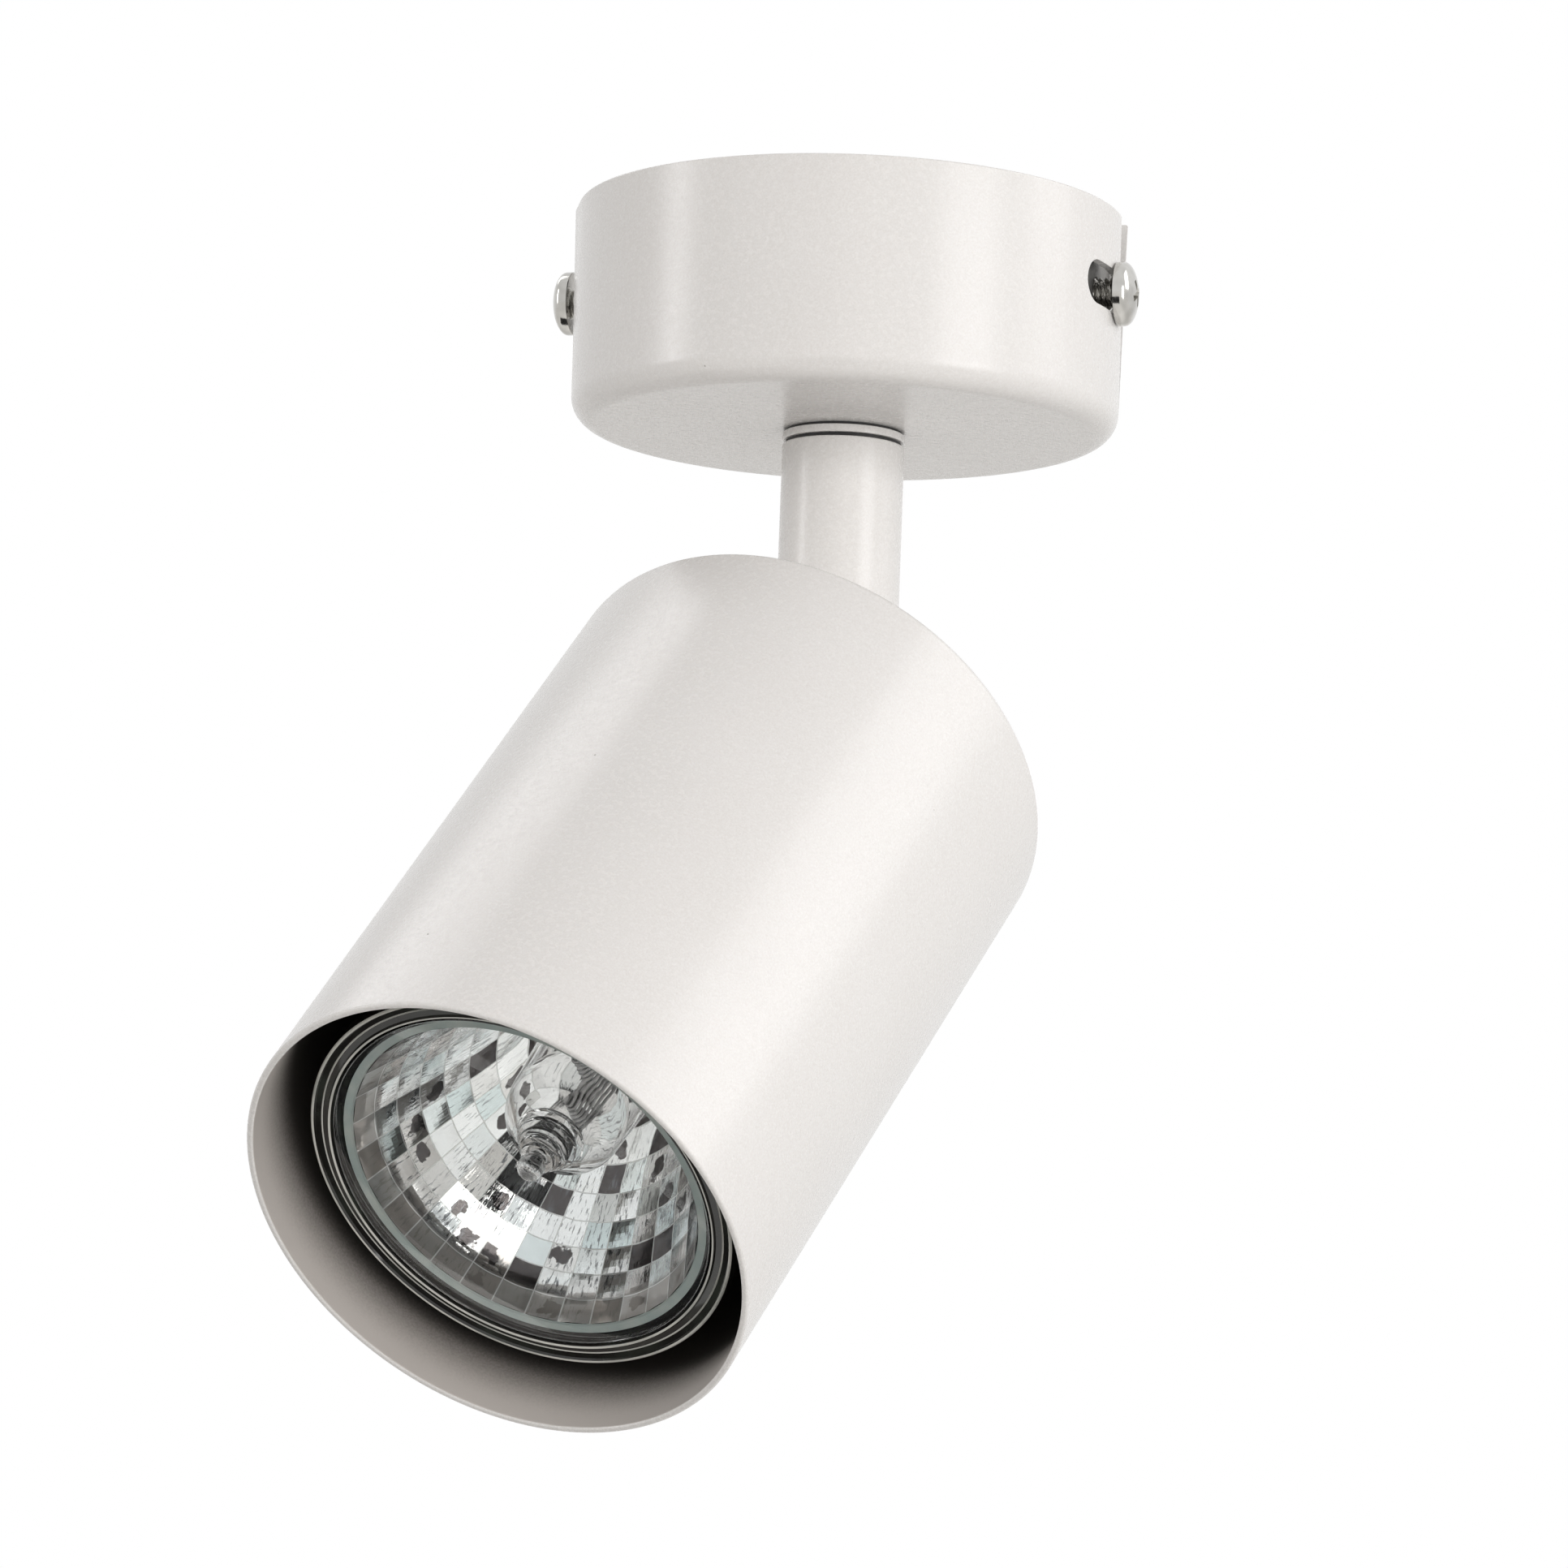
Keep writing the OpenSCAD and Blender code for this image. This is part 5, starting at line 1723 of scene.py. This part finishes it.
    def capsule(self) -> None:
        """Quartz capsule with its round nib, stepped cone, shoulder and flat pinch."""
        cone, wide, end = self.nib_tip + 2 * self.nib_r - 0.4, self.capsule_r, self.capsule_end
        shoulder = cone + self.shoulder_drop
        skin = bulge(self.nib_r, self.nib_r, range(0, 141, 14), (0.0, self.nib_tip + self.nib_r))
        for k in range(self.cone_steps):
            r, z = self.nib_r + (self.cone_r - self.nib_r) * k / self.cone_steps, cone + self.cone_pitch * k
            skin += [(r - 0.1, z), (r + 0.38, z + 0.12), (r + 0.48, z + 0.3), (r + 0.36, z + 0.5)]
        skin += bulge(wide - self.cone_r, self.shoulder_h, range(20, 91, 10), (self.cone_r, shoulder))
        skin += [(wide, end - 2.0), (wide * 0.8, end - 0.5), (wide * 0.5, end), (0, end)]
        outer = lathe("capsule_outer", skin, self.seat, 96, closed=False)
        hollow = wide - self.quartz_t
        cavity = bulge(hollow, 1.9, range(0, 91, 10), (0.0, shoulder + self.quartz_t))
        cavity += [(hollow, end - 2.6), (hollow * 0.7, end - 1.4), (0, end - 1.1)]
        inner = lathe("capsule_inner", cavity, self.seat, 96, closed=False)
        inner.data.flip_normals()
        x, y = self.pinch_w / 2, self.pinch_t / 2
        pinch = box("pinch", Vector((-x, -y, self.pinch_start)), Vector((x, y, self.pinch_end)), self.seat)
        soften(pinch, 0.5, 3)
        settle(pinch)
        shade(pinch.data)
        for part, finish in ((outer, Finish.QUARTZ), (inner, Finish.QUARTZ), (pinch, Finish.PINCH)):
            part.data.materials.append(finish.material())
        self.dress(join("quartz_capsule", [outer, inner, pinch]), Slot.QUARTZ, "lamp_capsule")

    def filament(self) -> None:
        """Wound coil with its two support wires."""
        half, steps, depth = self.coil_half, self.coil_turns * self.turn_steps, self.filament_depth
        turns = [math.tau * k / self.turn_steps for k in range(steps + 1)]
        coil = tube("coil", [self.seat.out(
            -half + 2 * half * k / steps, self.coil_r * math.cos(turn), depth + self.coil_r * math.sin(turn))
            for k, turn in enumerate(turns)], self.wire_r, 8)
        legs = [tube("leg", [self.seat.out(x, 0, z) for z in (depth, self.leg_end)], self.leg_r, 10)
                for x in (-half, half)]
        for part in (coil, *legs):
            part.data.materials.append(Finish.TUNGSTEN.material())
        self.dress(join("filament_coil", [coil, *legs]), Slot.TUNGSTEN, "lamp_filament")

    def cement(self) -> None:
        """Cement that holds the capsule's pinch in the neck."""
        top, low, wide = self.cement_top, self.cement_end, self.hole_r - self.cement_gap
        section = [(0, top + 0.8), (self.hole_r * 0.5, top + 0.5), (wide, top), (wide, low), (0, low)]
        piece = lathe("neck_cement", section, self.seat, 96, closed=False)
        self.dress(piece, Slot.CERAMIC, finish=Finish.CEMENT)


@dataclass(frozen=True)
class Panel:
    """Flat panel that faces the object: its place from the object's middle and its size, in metres."""

    name: str
    offset: Corner
    width: float
    height: float

    def facing(self) -> Matrix:
        """Turn that makes the panel's -Z look at the object's middle."""
        return (-Vector(self.offset)).to_track_quat("-Z", "Y").to_matrix().to_4x4()


@dataclass(frozen=True)
class Lamplight(Panel):
    """Soft lamp with its power in watts; glossy surfaces show it only where it is reflected."""

    power: float
    reflected: bool = True


def plane(name: str, x: float, y: float, place: Matrix, material: bpy.types.Material) -> bpy.types.Object:
    """Flat sheet that belongs to the studio.

    Args:
        name: Name of the sheet.
        x: Half its width in metres.
        y: Half its length in metres.
        place: Its place and turn.
        material: Its material.

    Returns:
        The sheet.
    """
    mesh = bpy.data.meshes.new(name)
    mesh.from_pydata([(-x, -y, 0), (x, -y, 0), (x, y, 0), (-x, y, 0)], [], [(0, 1, 2, 3)])
    mesh.materials.append(material)
    mesh.transform(place)
    piece = new_piece(name, mesh)
    piece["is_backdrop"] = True
    return piece


@dataclass
class Studio:
    """Floor, soft lamps, dark cards, world and camera."""

    eye: Vector = field(default_factory=lambda: Vector((199.857, -801.600, -189.841)) * MM)
    right: Vector = field(default_factory=lambda: Vector((0.969315, 0.243117, 0.036359)))
    up: Vector = field(default_factory=lambda: Vector((0.000452, -0.149671, 0.988736)))
    lens: float = 162.64
    sensor: float = 36.0
    middle: Vector = field(default_factory=lambda: Vector((0, -0.02, -0.06)))
    floor_z: float = -0.95
    floor_half: float = 12.0
    floor_glow: float = 0.7
    ambient: float = 0.35
    warmth: Colour = (1.0, 0.965, 0.935)
    lamps: tuple[Lamplight, ...] = (
        Lamplight("right_low", (0.88, -0.42, 0.05), 0.45, 0.52, 2.9),
        Lamplight("right_high", (0.80, 0.22, 0.50), 0.40, 0.6, 1.75),
        Lamplight("left_high", (-0.80, -0.40, 0.30), 0.20, 0.6, 1.8),
        Lamplight("left_back", (-0.55, 0.32, 0.75), 0.22, 0.6, 0.9),
        Lamplight("front_fill", (0.45, -0.85, 0.05), 0.6, 0.6, 3.3, False),
        Lamplight("low_left", (-0.60, -0.35, -0.62), 0.6, 0.6, 0.2, False),
        Lamplight("low_right", (0.62, -0.40, -0.60), 0.6, 0.6, 0.05, False),
        Lamplight("back_fill", (-0.25, 0.95, 0.10), 0.8, 0.8, 3.0, False))
    cards: tuple[Panel, ...] = (
        Panel("low_card", (-0.130, -0.02, -0.215), 0.14, 0.14),
        Panel("front_card", (0.016, -0.255, -0.128), 0.155, 0.145))

    def build(self) -> None:
        """Set the whole studio up."""
        self.camera()
        self.world()
        self.floor()
        for lamp in self.lamps:
            self.soft_lamp(lamp)
        for card in self.cards:
            self.dark_card(card)
        bpy.context.scene.view_settings.view_transform = "Standard"

    def camera(self) -> None:
        """Camera at the photograph's place and angle."""
        data = bpy.data.cameras.new("view")
        data.lens = self.lens
        data.sensor_width = self.sensor
        data.clip_start = 0.01
        data.clip_end = 20.0
        camera = bpy.data.objects.new("view", data)
        turn = Matrix((self.right, self.up, self.right.cross(self.up))).transposed().to_4x4()
        camera.matrix_world = Matrix.Translation(self.eye) @ turn
        bpy.context.scene.collection.objects.link(camera)
        bpy.context.scene.camera = camera

    def world(self) -> None:
        """White to the camera and in reflections, dimmer and a little warm as light."""
        world = bpy.data.worlds.new("studio")
        bpy.context.scene.world = world
        world.use_nodes = True
        sheet = Sheet(world.node_tree)
        seen = sheet.seen_directly()
        sky = sheet.value("ShaderNodeBackground", 0, {
            "Color": sheet.mix(seen, self.warmth, (1.0, 1.0, 1.0)),
            "Strength": seen.span(0.0, 1.0, self.ambient, 1.0)})
        sheet.add("ShaderNodeOutputWorld", {"Surface": sky})

    def floor(self) -> None:
        """Pale floor well below the object, which glows a little where it is looked at."""
        sheet = Shader("pale_floor")
        colour = sheet.mix(sheet.noise(9, 3), (0.86, 0.86, 0.85), (0.83, 0.83, 0.82))
        material = sheet.surface(Base_Color=colour, Roughness=0.7, Emission_Color=colour,
                                 Emission_Strength=sheet.seen_directly() * self.floor_glow)
        plane("floor", self.floor_half, self.floor_half, Matrix.Translation((0, 0, self.floor_z)), material)

    def soft_lamp(self, lamp: Lamplight) -> None:
        """Hang a rectangular soft lamp that faces the object.

        Args:
            lamp: The lamp.
        """
        data = bpy.data.lights.new(lamp.name, "AREA")
        data.shape = "RECTANGLE"
        data.size = lamp.width
        data.size_y = lamp.height
        data.energy = lamp.power
        data.color = (1, 1, 1) if lamp.reflected else self.warmth
        light = bpy.data.objects.new(lamp.name, data)
        light.visible_glossy = lamp.reflected
        light.matrix_world = Matrix.Translation(self.middle + Vector(lamp.offset)) @ lamp.facing()
        bpy.context.scene.collection.objects.link(light)

    def dark_card(self, card: Panel) -> None:
        """Stand a dark card that shows only in glass and metal.

        Args:
            card: The card.
        """
        sheet = Shader(card.name)
        colour = sheet.mix(sheet.noise(20), (0.012, 0.012, 0.013), (0.02, 0.02, 0.02))
        place = Matrix.Translation(self.middle + Vector(card.offset)) @ card.facing()
        piece = plane(card.name, card.width / 2, card.height / 2, place,
                      sheet.surface(Base_Color=colour, Roughness=0.9))
        piece.visible_camera = False
        piece.visible_diffuse = False
        piece.visible_shadow = False


def corners(bounds: tuple[Vector, Vector]) -> list[list[float]]:
    """Lowest and highest corner as plain lists."""
    return [list(corner) for corner in bounds]


def main() -> dict[str, list[list[float]]]:
    """Build the studio and every sub-assembly in order.

    Returns:
        The CAD model's box and the visual model's box.
    """
    cad_box = corners(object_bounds())
    kit = Kit()
    Studio().build()
    for assembly in (Canopy(kit), Stem(kit), Head(kit), Lamp(kit)):
        assembly.build()
        log.info("%s done", type(assembly).__name__)
    bpy.context.view_layer.update()
    return {"cad": cad_box, "visual": corners(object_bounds())}


if __name__ == "__main__":
    logging.basicConfig(level=logging.INFO, format="%(name)s: %(message)s")
    boxes = main()
